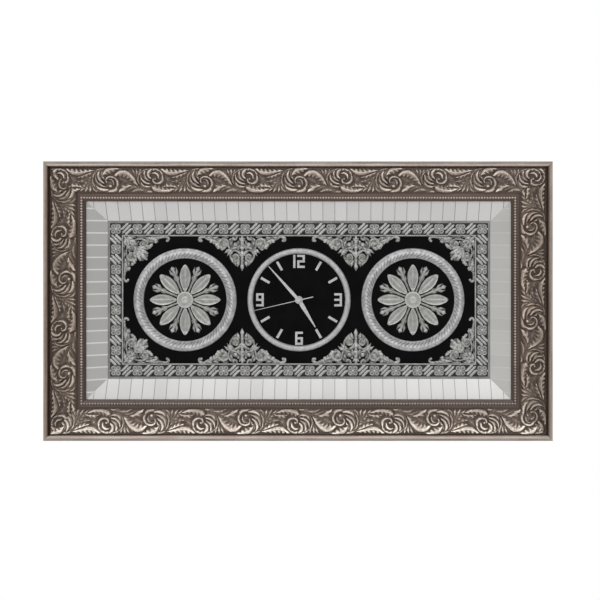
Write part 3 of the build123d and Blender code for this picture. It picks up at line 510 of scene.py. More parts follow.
def makeReliefFinish(name, hollow, mid, high, creases=0.0):
    # cast ornament: dark where it meets the ground, bright on top; reads the piece's own "rise"
    finish, tree, shader, coords = startFinish(name)
    rise = readAttribute(tree, "rise")
    grit = addNoise(tree, coords, 700.0, 3.0)
    stand = addMath(tree, "ADD", rise, spreadNoise(tree, addNoise(tree, coords, 130.0, 3.0), -0.14, 0.14))
    tone = addRamp(tree, stand, [(0.05, tint(*hollow)), (0.4, tint(*mid)), (0.9, tint(*high))])
    tone = addWash(tree, tone, 0.7, grit, 0.34, (206, 206, 206), 0.6)
    if creases:
        tone = addWash(tree, tone, creases, addNoise(tree, coords, 300.0, 2.0), 0.36, (120, 120, 118), 0.54)
    setShader(tree, shader, tone, spreadNoise(tree, grit, 0.3, 0.48), 0.35, 0.45)
    addBump(tree, shader, grit, 0.1, 0.3 * mm)
    return finish


def makeBoardFinish():
    finish, tree, shader, coords = startFinish("hardboardBack")
    fibre = addNoise(tree, coords, 220.0, 6.0, (1.0, 1.0, 2.4), 0.65)
    tone = addRamp(tree, fibre, [(0.3, tint(92, 64, 42)), (0.7, tint(140, 102, 68))])
    tone = addWash(tree, tone, 0.8, addNoise(tree, coords, 9.0, 3.0), 0.3, (214, 208, 204), 0.7)
    setShader(tree, shader, tone, spreadNoise(tree, fibre, 0.62, 0.82), shine=0.25)
    addBump(tree, shader, fibre, 0.3, 0.4 * mm)
    return finish


def makeWireFinish():
    finish, tree, shader, coords = startFinish("copperWire")
    turnPitch = 0.22 * mm
    x = splitAxes(tree, coords)[0]
    turns = addMath(tree, "SINE", addMath(tree, "MULTIPLY", x, 2 * math.pi / turnPitch))
    grit = addNoise(tree, coords, 900.0, 2.0)
    level = addMath(tree, "ADD", turns, addMath(tree, "MULTIPLY", grit, 0.6))
    tone = addRamp(tree, addRange(tree, level, -1.0, 1.6, 0.0, 1.0),
                   [(0.1, tint(104, 48, 26)), (0.8, tint(202, 118, 74))])
    setShader(tree, shader, tone, spreadNoise(tree, grit, 0.26, 0.4), 0.8)
    addBump(tree, shader, turns, 0.3, 0.2 * mm)
    return finish


def makeCellFinish():
    # plain two-tone sleeve between bare steel ends
    cellLow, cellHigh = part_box("battery")
    steel = tint(186, 188, 190)
    finish, tree, shader, coords = startFinish("cellSleeve")
    share = addRange(tree, splitAxes(tree, coords)[0], cellLow.x, cellHigh.x, 0.0, 1.0)
    grit = addNoise(tree, coords, 500.0, 2.0)
    tone = addRamp(tree, share, [(0.0, steel), (0.02, tint(44, 46, 52)), (0.68, tint(188, 132, 74)),
                                 (0.965, steel)], sharp=True)
    tone = addWash(tree, tone, 0.6, grit, 0.3, (220, 220, 220), 0.6)
    setShader(tree, shader, tone, spreadNoise(tree, grit, 0.24, 0.36), 0.45)
    addBump(tree, shader, grit, 0.04, 0.2 * mm)
    return finish


mouldingFinish = makeMouldingFinish()
plain = {name: makePlainFinish(name) for name in plainLooks}
cadFinishes = [
    (mouldingFinish, ("top_rail", "bottom_rail", "left_rail", "right_rail")),
    (makeLinerFinish("linerAcross"), ("liner_top", "liner_bottom")),
    (makeLinerFinish("linerLeft"), ("liner_left",)),
    (makeLinerFinish("linerRight"), ("liner_right",)),
    (plain["blackPanel"], ("dial_panel",)),
    (plain["greySlip"], ("slip_strips",)),
    (plain["blackGround"], ("border_top", "border_bottom", "border_left", "border_right")),
    (plain["silverLine"], ("fillet_strips",)),
    (plain["dialSilver"], ("dial_ring",)),
    (plain["figureSilver"], ("hour_bars", "numeral_twelve", "numeral_three", "numeral_six", "numeral_nine")),
    (plain["handSilver"], ("hour_hand", "minute_hand", "second_hand")),
    (plain["mouldedBlack"], ("movement_front", "movement_back")),
    (plain["mouldedGrey"], ("set_knob",)),
    (plain["mouldedWhite"], ("train_plate", "third_wheel", "drive_wheel", "intermediate_wheel",
                             "rotor_pinion", "motion_wheel", "hour_wheel", "coil_bobbin")),
    (plain["turnedBrass"], ("threaded_bush", "bush_nut", "bush_washer", "cannon_pinion", "hanger_screws")),
    (plain["softRubber"], ("movement_gasket",)),
    (plain["softIron"], ("stator", "rotor_magnet")),
    (makeWireFinish(), ("coil_winding",)),
    (plain["greenBoard"], ("circuit_board",)),
    (plain["canMetal"], ("circuit_parts",)),
    (makeCellFinish(), ("battery",)),
    (plain["zincSteel"], ("second_wheel", "corner_v_nails", "retaining_points", "hanger_plates",
                          "contact_plus", "contact_minus")),
    (makeBoardFinish(), ("back_board",)),
]
for finish, names in cadFinishes:
    for name in names:
        holder = cadNodes[name]
        if not holder.data.materials:
            holder.data.materials.append(finish)
        for k in range(len(holder.data.materials)):
            holder.data.materials[k] = finish
print("finishes set on", sum(len(names) for finish, names in cadFinishes), "model nodes")


# carving on the moulding, in millimetres; s runs along the rail, t outwards from the band's inner edge
carving = {
    "period": 145.2, "width": 39.0, "cell": 0.3, "rise": 3.9, "firstScroll": 67.0, "spread": 1.34,
    "moat": 0.7, "sunk": 0.35, "toothDeep": 0.44, "toothSlant": 0.45, "toothCrease": 0.8,
    "toothPower": 0.75, "creasePower": 0.4, "curveSteps": 9, "flankPower": 1.7, "crownPower": 0.75,
    "thinHigh": 0.45, "highPerHalf": 0.26, "wideLeaf": 5.6, "leafFlute": 0.12, "vineFlute": 0.1,
    "fluteFrom": 1.0, "fluteSpan": 1.0, "crestCells": 11, "crestSpan": 0.9,
    "spacing": 0.62, "margin": 0.25, "edgeFade": 0.6, "sink": 0.25, "bandStart": 9.0,
    # out from the wall: the plain band's outer edge, middle and inner edge, then the foot of the skirt
    "groundOut": (43.0, 42.25, 38.5), "skirtOut": 35.5, "skirtDrop": 4.0,
    # vine and scroll rings: points, half widths, height
    "vines": [
        ([(-16.8, 1.8), (0, 4.2), (13.7, 4.8), (25, 10.5), (34.6, 20), (43, 31), (50, 35.6), (60, 37),
          (70, 37), (82, 35), (92, 28.4), (100, 20.2), (109.4, 9.8), (119, 3.6), (128.4, 1.8)],
         (1.8, 2.4, 2.6, 2.4, 2.0, 2.4, 3.0, 2.8, 1.8), 0.52),
        ([(44.4, 30), (43.4, 18), (47.6, 10), (56.5, 4), (65.8, 2.6), (73.4, 4.8), (77.2, 10.8), (76.8, 17.6),
          (72.4, 23), (66, 24.6), (61.2, 22.4), (59.6, 18.4), (61.4, 15.4)],
         (1.2, 2.5, 2.3, 2.2, 2.6, 2.8, 2.4, 2.0, 1.8, 1.2), 0.74),
        ([(118, 4.6), (110.4, 15), (111, 26), (118, 34), (130, 36), (141, 33.6), (146.2, 27.4), (146.8, 20.6),
          (143.2, 15.8), (138.2, 14.2), (133.6, 16), (132.2, 20), (135.2, 22.2)],
         (1.2, 2.0, 2.0, 1.6, 1.8, 2.6, 2.8, 2.4, 2.0, 1.3), 0.76),
    ],
    # leaves from base to tip: points, half widths, height, then teeth, toothed side and place of the ridge
    # where they aren't 0 (sides: 1 left of the way to the tip, -1 right, 0 both)
    "leaves": [
        ([(4, 27), (9, 21), (14, 13)], (1.2, 4.4, 0.8), 0.36, 4),
        ([(72, 20), (67, 14), (60, 9)], (1.2, 4.8, 1.0), 0.38, 3),
        ([(79, 22), (86, 19), (95, 13)], (1.0, 4.0, 0.8), 0.34, 4, -1),
        ([(136, 34), (141, 28), (143, 20)], (1.0, 3.6, 0.8), 0.36, 3),
        ([(150, 25), (155, 20), (161, 14)], (1.0, 3.8, 0.8), 0.36, 4),
        ([(84, 36), (90, 33), (95, 27)], (1.0, 3.4, 0.8), 0.36, 3),
        ([(52, 24), (50, 18), (54, 12)], (1.0, 3.2, 0.8), 0.36, 3),
        ([(78, 8), (84, 12), (92, 13)], (1.0, 3.0, 0.8), 0.34, 3),
        ([(118, 20), (122, 14), (128, 10)], (1.0, 3.4, 0.8), 0.36, 3),
        ([(110.6, 8), (118, 6.4), (128, 9)], (1.2, 4.0, 0.8), 0.44, 3, 1),
        ([(112, 12), (118, 13), (125, 12.4)], (1.0, 2.6, 0.6), 0.4, 2),
        ([(44, 32), (48, 30.6), (53, 31.4)], (1.2, 3.0, 0.8), 0.46, 2, -1),
        ([(108, 12), (100, 13.4), (90, 14)], (1.0, 2.6, 0.6), 0.42, 3, 1),
        ([(150, 26), (154, 30), (161, 29.4)], (1.0, 2.8, 0.6), 0.42, 3, 1),
        ([(150, 14), (156, 15.6), (164, 14.4)], (1.0, 2.4, 0.6), 0.4, 3, 1),
        ([(110, 14), (101.6, 26), (94.6, 35.4)], (1.0, 3.0, 2.6, 0.5), 0.5),
        ([(110.6, 15), (105, 27), (100.4, 36.6)], (1.0, 3.0, 2.8, 0.5), 0.56),
        ([(111, 17), (108.4, 27.5), (106.4, 36.8)], (1.0, 2.8, 2.8, 0.5), 0.6),
        ([(112, 22), (111.8, 29), (113, 37)], (0.8, 2.2, 2.2, 0.5), 0.58),
        ([(39, 25.4), (31, 20.4), (23, 18), (14.6, 17.4)], (1.2, 3.4, 3.2, 0.6), 0.52, 4),
        ([(39, 21), (28.4, 13), (19, 2.8)], (1.2, 3.9, 4.0, 0.7), 0.74, 4, -1, 0.1),
        ([(39.4, 20), (33, 11.5), (26.2, 1.8)], (1.0, 3.0, 3.2, 0.6), 0.66),
        ([(40, 19), (37, 11), (33.8, 2.0)], (1.0, 2.8, 3.2, 0.6), 0.72),
        ([(40.6, 17), (40.4, 9), (45, 1.8)], (0.9, 2.6, 3.2, 0.6), 0.76),
        ([(112, 8), (101, 9.6), (90.6, 3.4)], (1.0, 2.9, 2.4, 0.5), 0.5, 3, -1),
        ([(117, 4.2), (107, 5), (98, 1.8)], (1.0, 2.4, 1.8, 0.5), 0.46),
        ([(100, 11.6), (91, 10.4), (84.4, 7), (78.8, 1.8)], (1.0, 3.2, 4.8, 0.9), 0.88, 3, -1, 0.15),
        ([(108.6, 10.8), (101.4, 16.4), (93.2, 19)], (1.3, 4.4, 0.7), 0.84, 3, 1, -0.1),
        ([(24, 8.6), (16, 11), (9, 11.2), (0.6, 9.2)], (1.0, 3.2, 3.9, 0.7), 0.84, 4, -1, 0.15),
        ([(164, 6.6), (154, 4.6), (144, 5.2), (135, 8), (126.8, 13)],
         (1.4, 3.6, 4.8, 5.2, 0.9), 0.94, 6, -1, 0.2),
        ([(39.4, 31), (33, 28.2), (26, 25.6), (16, 23.2)], (1.0, 3.0, 3.8, 0.6), 0.88, 4, 1, -0.2),
        ([(40.6, 34.6), (30, 33.4), (18, 32), (8, 33.4), (-0.8, 36.8)],
         (1.1, 3.2, 5.2, 5.0, 0.9), 1.0, 6, -1, 0.2),
        ([(60, 2.4), (48, 4.6), (41.6, 11), (39.4, 19), (41, 27), (46, 33)],
         (1.2, 2.2, 2.4, 2.1, 1.6, 0.5), 0.74, 3, 1, 0.1),
        ([(62.6, 5), (55.4, 5.2), (48.6, 8.4), (43.8, 15.6)], (1.2, 3.2, 3.5, 0.6), 0.98, 0, 0, 0.2),
        ([(58.6, 9.6), (51.4, 12.6), (46.6, 18.6), (44, 28)], (1.2, 3.4, 3.9, 0.6), 0.86, 2, -1, 0.1),
        ([(56.4, 15), (51, 20), (49, 26.4), (51.6, 34.8)], (1.2, 2.7, 3.1, 0.6), 1.0, 0, 0, 0.2),
        ([(57, 20.6), (54.6, 26.4), (56.6, 32.4), (63, 36.8)], (1.2, 3.0, 3.5, 0.6), 0.9, 2, 1, 0.1),
        ([(55.4, 26.8), (61, 32), (68.6, 34.8), (80, 37.2)], (1.4, 5.2, 4.2, 0.6), 0.95, 4, -1, 0.15),
        ([(107, 12.4), (99.4, 21), (93.2, 26), (87, 28.4), (80.6, 28.4), (73, 25.6)],
         (1.6, 4.0, 5.2, 6.2, 5.0, 0.8), 1.0, 6, 1, -0.42),
        ([(126, 6.4), (117, 8.6), (111.2, 14), (109, 21.5), (111, 28.6), (116.4, 33.6)],
         (1.0, 1.9, 2.2, 2.2, 1.7, 0.5), 0.74, 3, 1, 0.1),
        ([(129, 10.4), (122.6, 10), (116.4, 13), (112.4, 19)], (1.2, 2.9, 3.3, 0.6), 0.88, 2, -1, 0.1),
        ([(127.6, 14), (121.4, 15.6), (116.4, 20.4), (113.6, 28.6)], (1.2, 2.6, 3.0, 0.6), 1.0, 0, 0, 0.2),
        ([(127, 18), (122.4, 21), (119.4, 26.4), (120.6, 34.8)], (1.2, 3.0, 3.7, 0.6), 0.86, 2, 1, 0.1),
        ([(129, 22), (125.6, 26), (126, 31.6), (131.4, 36.8)], (1.2, 2.6, 3.0, 0.6), 1.0, 0, 0, 0.2),
        ([(130, 29.6), (135.6, 30.4), (140, 27), (140.8, 21)], (0.7, 1.8, 2.1, 0.6), 0.9),
        ([(63.6, 20.6), (68, 20.4), (71.2, 16.4), (70.8, 10.6)], (0.6, 1.3, 1.6, 0.5), 0.72),
    ],
    # round buds: place, radius, height
    "berries": [((66.2, 10.4), 3.0, 0.74), ((135.4, 21.2), 1.8, 0.76)], "berryHalf": 0.4,
}


def smoothRun(points, steps):
    # even curve through the points
    points = [np.array(point, float) for point in points]
    ends = [2 * points[0] - points[1]] + points + [2 * points[-1] - points[-2]]
    run = []
    for k in range(1, len(ends) - 2):
        before, here, after, later = ends[k - 1:k + 3]
        for step in range(steps):
            q = step / steps
            run.append(0.5 * (2 * here + (after - before) * q
                              + (2 * before - 5 * here + 4 * after - later) * q * q
                              + (3 * here - before - 3 * after + later) * q ** 3))
    run.append(points[-1])
    return np.array(run)


def shareWidths(widths, count):
    return np.interp(np.linspace(0, 1, count), np.linspace(0, 1, len(widths)), widths)


def carveForm(height, points, widths, top, teeth=0, side=0, ridge=0.0, flute=0.0):
    # one rounded form laid over what is carved so far, with a small moat round it
    cell, moat, sunk = carving["cell"], carving["moat"], carving["sunk"]
    countS, countT = height.shape
    run = smoothRun(points, carving["curveSteps"])
    ahead = np.gradient(run, axis=0)
    ahead /= np.linalg.norm(ahead, axis=1)[:, None]
    left = np.stack((-ahead[:, 1], ahead[:, 0]), 1)
    pace = np.concatenate(([0], np.cumsum(np.linalg.norm(np.diff(run, axis=0), axis=1))))
    reach = max(widths) + moat
    indexS = np.arange(math.floor((run[:, 0].min() - reach) / cell),
                       math.ceil((run[:, 0].max() + reach) / cell) + 1)
    indexT = np.arange(max(0, math.floor((run[:, 1].min() - reach) / cell)),
                       min(countT, math.ceil((run[:, 1].max() + reach) / cell) + 1))
    s = indexS * carving["period"] / countS
    t = indexT * cell
    near = ((s[:, None, None] - run[:, 0]) ** 2 + (t[None, :, None] - run[:, 1]) ** 2).argmin(2)
    gapS, gapT = s[:, None] - run[near, 0], t[None, :] - run[near, 1]
    onward = gapS * ahead[near, 0] + gapT * ahead[near, 1]
    sideways = gapS * left[near, 0] + gapT * left[near, 1]
    past = ((near == 0) & (onward < 0)) | ((near == len(run) - 1) & (onward > 0))
    away = np.where(past, np.hypot(gapS, gapT), np.abs(sideways))
    q = np.clip((pace[near] + onward) / pace[-1], 0, 1)
    half = np.interp(q, np.linspace(0, 1, len(widths)), widths)
    lobes = np.ones_like(q)
    if teeth:
        slant = carving["toothSlant"] * np.minimum(away / half, 1)
        lobes = np.abs(np.sin(math.pi * (teeth * q - slant))) ** carving["toothPower"]
        lobes = np.where((side == 0) | (np.sign(sideways) == side), lobes, 1.0)
    edge = half * (1 - carving["toothDeep"] * (1 - lobes))
    # the ridge may lie off the middle line
    across = np.sign(sideways) * away / edge
    slope = np.where(across > ridge, (across - ridge) / (1 - ridge), (ridge - across) / (1 + ridge))
    slope = np.clip(slope, 0, 1)
    thick = np.minimum(1, carving["thinHigh"] + carving["highPerHalf"] * half)
    form = top * (1 - slope ** carving["flankPower"]) ** carving["crownPower"] * thick
    form *= 1 - carving["toothCrease"] * (1 - lobes) * slope ** carving["creasePower"]
    ribs = 2 if max(widths) > carving["wideLeaf"] else 1
    deep = flute * ease(half, carving["fluteFrom"], carving["fluteSpan"])
    form *= 1 - deep * (0.5 - 0.5 * np.cos(2 * math.pi * ribs * slope))
    rows = np.ix_(indexS % countS, indexT)
    part = height[rows]
    outside = (away - edge) / moat
    around = part * (sunk + (1 - sunk) * np.clip(outside, 0, 1))
    height[rows] = np.where(outside > 0, around, np.maximum(form, sunk * part))


def carveTile():
    # height of one repeat, from 0 on the ground to 1
    countS = int(round(carving["period"] / carving["cell"]))
    countT = int(round(carving["width"] / carving["cell"])) + 1
    height = np.zeros((countS, countT))
    for forms, flute in (("vines", "vineFlute"), ("leaves", "leafFlute")):
        for points, widths, top, *edge in carving[forms]:
            wide = [carving["spread"] * width for width in widths]
            carveForm(height, points, wide, top, *edge, flute=carving[flute])
    for (s, t), radius, top in carving["berries"]:
        long = carving["berryHalf"]
        carveForm(height, [(s - long, t), (s, t), (s + long, t)], (radius, radius), top)
    return height


def blurred(height, cells):
    # box blur, round the repeat along s and held at the edges along t
    for axis in (0, 1):
        pad = [(cells, cells) if axis == k else (0, 0) for k in (0, 1)]
        wide = np.pad(height, pad, mode="wrap" if axis == 0 else "edge")
        total = np.cumsum(wide, axis=axis)
        zero = np.zeros_like(np.take(total, [0], axis=axis))
        total = np.concatenate((zero, total), axis=axis)
        span = 2 * cells + 1
        count = height.shape[axis]
        upper = np.take(total, np.arange(span, span + count), axis=axis)
        lower = np.take(total, np.arange(0, count), axis=axis)
        height = (upper - lower) / span
    return height


def sampleTile(tile, s, t):
    # tile value between its cells, repeating along s
    countS, countT = tile.shape
    a = (s / carving["period"] * countS) % countS
    b = np.clip(t / carving["cell"], 0, countT - 1.001)
    a0, b0 = np.floor(a).astype(int), np.floor(b).astype(int)
    fa, fb = a - a0, b - b0
    a1 = (a0 + 1) % countS
    a0 %= countS
    return ((tile[a0, b0] * (1 - fa) + tile[a1, b0] * fa) * (1 - fb)
            + (tile[a0, b0 + 1] * (1 - fa) + tile[a1, b0 + 1] * fa) * fb)


def bandGround(across):
    # front of the plain band, from its outer to its inner edge
    q = (across - carving["bandStart"]) / carving["width"]
    outer, middle, inner = carving["groundOut"]
    return outer * (1 - q) * (1 - 2 * q) + 4 * middle * q * (1 - q) + inner * q * (2 * q - 1)


heightTile = blurred(carveTile(), 1)
crestTile = heightTile - blurred(blurred(heightTile, carving["crestCells"]), carving["crestCells"])
crestTile = np.clip(0.5 + crestTile / carving["crestSpan"], 0, 1)
carvedFinish = makeCarvedFinish()


def carveRail(name, length, scrollAt, along, outward):
    # a flat grid, its points then placed over the mitred band and raised to the carving
    columns = int(round(length / carving["spacing"]))
    rows = int(round(carving["width"] / carving["spacing"]))
    deselectAll()
    bpy.ops.mesh.primitive_grid_add(x_subdivisions=columns, y_subdivisions=rows, size=1.0)
    relief = bpy.context.object
    flat = readPoints(relief)
    margin = carving["margin"]
    t = margin + (flat[:, 1] + 0.5) * (carving["width"] - 2 * margin)
    across = carving["bandStart"] + carving["width"] - t
    place = flat[:, 0] * (length - 2 * across)
    s = place - scrollAt + carving["firstScroll"]
    fade = ease(np.minimum(t, carving["width"] - t), 0, carving["edgeFade"])
    height = sampleTile(heightTile, s, t) * fade
    out = bandGround(across) - carving["sink"] + height * carving["rise"]
    fromMiddle = (halfHigh if along[0] else halfWide) / mm - across
    points = np.zeros_like(flat)
    points[:, 0] = place * along[0] + fromMiddle * outward[0]
    points[:, 1] = -out
    points[:, 2] = place * along[1] + fromMiddle * outward[1] + middleZ / mm
    writePoints(relief, points * mm)
    markPoints(relief, "rise", height)
    markPoints(relief, "crest", sampleTile(crestTile, s, t))
    # skirt down into the rail, closed underneath
    openMesh(relief)
    pickRim()
    bpy.ops.mesh.extrude_edges_move(TRANSFORM_OT_translate={"value": (0, carving["skirtDrop"] * mm, 0)})
    bpy.ops.transform.resize(value=(1, 0, 1), center_override=(0, -carving["skirtOut"] * mm, middleZ))
    fillRim(75)
    rename(relief, name)
    mountOn(relief, carvedFinish, "moulding")


frameWide, frameTall = 2 * halfWide / mm, 2 * halfHigh / mm
# each rail's length, place of a scroll on it, way along it and way outwards
carvedRails = {
    "carvedTop": (frameWide, -288.0, (1, 0), (0, 1)), "carvedBottom": (frameWide, 226.4, (-1, 0), (0, -1)),
    "carvedLeft": (frameTall, 34.3, (0, 1), (-1, 0)), "carvedRight": (frameTall, -112.9, (0, -1), (1, 0)),
}
for name, rail in carvedRails.items():
    carveRail(name, *rail)
print("carved bands done")


# pearls: one half round pearl, arrayed along each rail; those well below the middle are dimmer, as painted
# shade
pearls = {
    "inset": 55.1, "radius": 2.12, "seatOut": 37.9, "sunk": 0.3, "countAcross": 157, "countUp": 73,
    "tones": ((103, 90, 82), (137, 123, 114), (168, 154, 145)), "tonesOut": (38.2, 39.8),
    "lowFrom": 100.0, "low": 0.72,
}


def makePearlFinish():
    finish, tree, shader, coords = startFinish("rubbedPearl")
    x, y, z = splitAxes(tree, coords)
    foot, top = (-out * mm for out in pearls["tonesOut"])
    stops = [(k / 2, tint(*tone)) for k, tone in enumerate(pearls["tones"])]
    tone = addRamp(tree, addRange(tree, y, foot, top, 0.0, 1.0), stops)
    # painted shade: pearls well below the middle are dimmed
    low = addMath(tree, "GREATER_THAN", middleZ - pearls["lowFrom"] * mm, z)
    tone = dimWhere(tree, tone, low, grey(pearls["low"]))
    spots = addNoise(tree, coords, 220.0, 2.0)
    tone = addWash(tree, tone, 0.6, spots, 0.35, (205, 196, 190), 0.65)
    setShader(tree, shader, tone, spreadNoise(tree, spots, 0.28, 0.42), 0.3)
    return finish


def pearlRow(name, first, step, count):
    pearl = addBall(pearls["radius"], first)
    bpy.ops.object.transform_apply(location=True, rotation=True, scale=True)
    cutBack(pearl, pearlY + pearls["sunk"] * mm)
    array = pearl.modifiers.new("row", "ARRAY")
    array.use_relative_offset = False
    array.use_constant_offset = True
    array.constant_offset_displace = step
    array.count = count
    bpy.ops.object.modifier_apply(modifier="row")
    rename(pearl, name)
    mountOn(pearl, pearlFinish, "moulding")


pearlFinish = makePearlFinish()
pearlX = halfWide - pearls["inset"] * mm
pearlY = -pearls["seatOut"] * mm
pearlZ = halfHigh - pearls["inset"] * mm
stepX = 2 * pearlX / (pearls["countAcross"] - 1)
stepZ = 2 * pearlZ / (pearls["countUp"] + 1)
for name, side in (("pearlsTop", 1), ("pearlsBottom", -1)):
    pearlRow(name, (-pearlX, pearlY, middleZ + side * pearlZ), (stepX, 0, 0), pearls["countAcross"])
for name, side in (("pearlsLeft", -1), ("pearlsRight", 1)):
    pearlRow(name, (side * pearlX, pearlY, middleZ - pearlZ + stepZ), (0, 0, stepZ), pearls["countUp"])
print("pearls done")


def markRise(piece, base, full):
    # how far each point stands out of its ground, 0 to 1, for the cast finish
    out = (-readPoints(piece)[:, 1] - base) / full
    markPoints(piece, "rise", np.clip(out, 0, 1))


castFinish = makeReliefFinish("castSilver", (84, 84, 82), (136, 136, 133), (172, 172, 169))
leafFinish = makeReliefFinish("leafSilver", (84, 84, 82), (148, 148, 145), (176, 176, 173), 0.7)
borderFinish = makeReliefFinish("borderSilver", (88, 88, 86), (134, 134, 132), (174, 174, 171))

# border: quatrefoils and slanting ropes on the black strips
border = {
    "inset": 12.9, "ground": 22.4, "sunk": 0.2, "across": 17, "up": 7,
    "lobeAt": 3.9, "lobeRadius": 2.6, "lobeThick": 1.5, "heart": 2.5, "budAt": 8.3, "bud": 2.0, "plate": 8.4,
    "plateHigh": 0.6, "flowerRise": 2.2, "ropeRise": 3.3,
    # strands of one rope: place across and along the lean, half width, length
    "strands": [(0.0, 0.0, 2.5, 20.0), (-4.9, 1.2, 2.7, 15.0), (4.9, -1.2, 2.7, 15.0)], "lean": 45.0,
    "knot": 3.4, "knotThin": 0.8, "knotSwell": 0.26, "twist": 1.3, "tip": 0.45, "tipSlope": 5,
}


def makeQuatrefoil():
    # four open loops round a raised heart, a bud at each side and a low cushion behind them,
    # modelled about the origin and cut flat at the back
    parts = []
    reach = border["lobeAt"] * math.sqrt(2)
    for k in range(4):
        turn = math.radians(45 + 90 * k)
        deselectAll()
        bpy.ops.mesh.primitive_torus_add(
            major_segments=14, minor_segments=6, major_radius=border["lobeRadius"] * mm,
            minor_radius=border["lobeThick"] * mm, rotation=(math.pi / 2, 0, 0),
            location=(reach * math.cos(turn) * mm, 0, reach * math.sin(turn) * mm))
        parts.append(bpy.context.object)
    for at, size in ((0, "heart"), (-border["budAt"], "bud"), (border["budAt"], "bud")):
        parts.append(addBall(border[size], (at * mm, 0, 0)))
    cushion = addBall(border["plate"], segments=12)
    cushion.scale = (1, 1, border["plateHigh"] / border["plate"])
    flower = joinAll(parts + [cushion], "quatrefoil")
    cutBack(flower, border["sunk"] * mm)
    return flower


def makeRope():
    # three leaning strands, each swelling in knots like a laid rope
    rods = []
    lean = math.radians(border["lean"])
    for across, onward, half, long in border["strands"]:
        knots = max(2, round(long / border["knot"]))
        deselectAll()
        bpy.ops.mesh.primitive_cylinder_add(vertices=8, radius=half * mm, depth=long * mm)
        rod = bpy.context.object
        bpy.ops.object.mode_set(mode="EDIT")
        bpy.ops.mesh.select_all(action="DESELECT")
        bpy.ops.object.mode_set(mode="OBJECT")
        # cut the edges along the rod, so that it can swell
        for edge in rod.data.edges:
            a, b = (rod.data.vertices[index].co for index in edge.vertices)
            edge.select = abs(a.z - b.z) > 0.5 * long * mm
        bpy.ops.object.mode_set(mode="EDIT")
        bpy.ops.mesh.select_mode(type="EDGE")
        bpy.ops.mesh.subdivide(number_cuts=2 * knots - 1)
        bpy.ops.object.mode_set(mode="OBJECT")
        points = readPoints(rod)
        q = points[:, 2] / (long * mm) + 0.5
        wave = np.abs(np.sin(q * knots * math.pi + points[:, 0] / (border["twist"] * mm)))
        swell = border["knotThin"] + border["knotSwell"] * wave
        taper = np.minimum(1, border["tip"] + border["tipSlope"] * np.minimum(q, 1 - q))
        points[:, :2] *= (swell * taper)[:, None]
        points += np.array((across, 0, onward)) * mm
        writePoints(rod, points)
        rod.rotation_euler = (0, lean, 0)
        rods.append(rod)
    rope = joinAll(rods, "slantRope")
    cutBack(rope, border["sunk"] * mm)
    return rope


def layBorder():
    wide = panel["wide"] / 2 - border["inset"]
    tall = panel["tall"] / 2 - border["inset"]
    stepAcross, stepUp = 2 * wide / border["across"], 2 * tall / border["up"]
    flowerPlaces, ropePlaces = [], []
    for side in (-1, 1):
        flowerPlaces += [(-wide + k * stepAcross, side * tall, 0) for k in range(border["across"] + 1)]
        ropePlaces += [(-wide + (k + 0.5) * stepAcross, side * tall, 0) for k in range(border["across"])]
    for side in (-1, 1):
        flowerPlaces += [(side * wide, -tall + k * stepUp, 90) for k in range(1, border["up"])]
        ropePlaces += [(side * wide, -tall + (k + 0.5) * stepUp, 90) for k in range(border["up"])]
    flower, rope = makeQuatrefoil(), makeRope()
    seat = -border["ground"] * mm
    for unit, places, name, rise in ((flower, flowerPlaces, "borderQuatrefoils", "flowerRise"),
                                     (rope, ropePlaces, "borderRopes", "ropeRise")):
        twins = []
        for x, z, turn in places:
            twin = copyOf(unit)
            twin.rotation_euler = (0, math.radians(turn), 0)
            twin.location = (x * mm, seat, axisZ + z * mm)
            twins.append(twin)
        bpy.data.objects.remove(unit, do_unlink=True)
        laid = joinAll(twins, name)
        markRise(laid, border["ground"] * mm, border[rise] * mm)
        mountOn(laid, borderFinish, "border")


layBorder()
print("border done")


# filigree: every stroke is a tapering cord laid flat on the panel, then pressed to half round
filigree = {"press": 0.56, "fillPress": 0.1, "sides": 3, "sink": 0.15, "full": 2.5, "teethFrom": 1.6,
            "teeth": 0.07, "curveSteps": 5, "endReach": 0.6, "endThin": 0.55,
            "middleSwell": 1.38, "cornerSwell": 1.16}

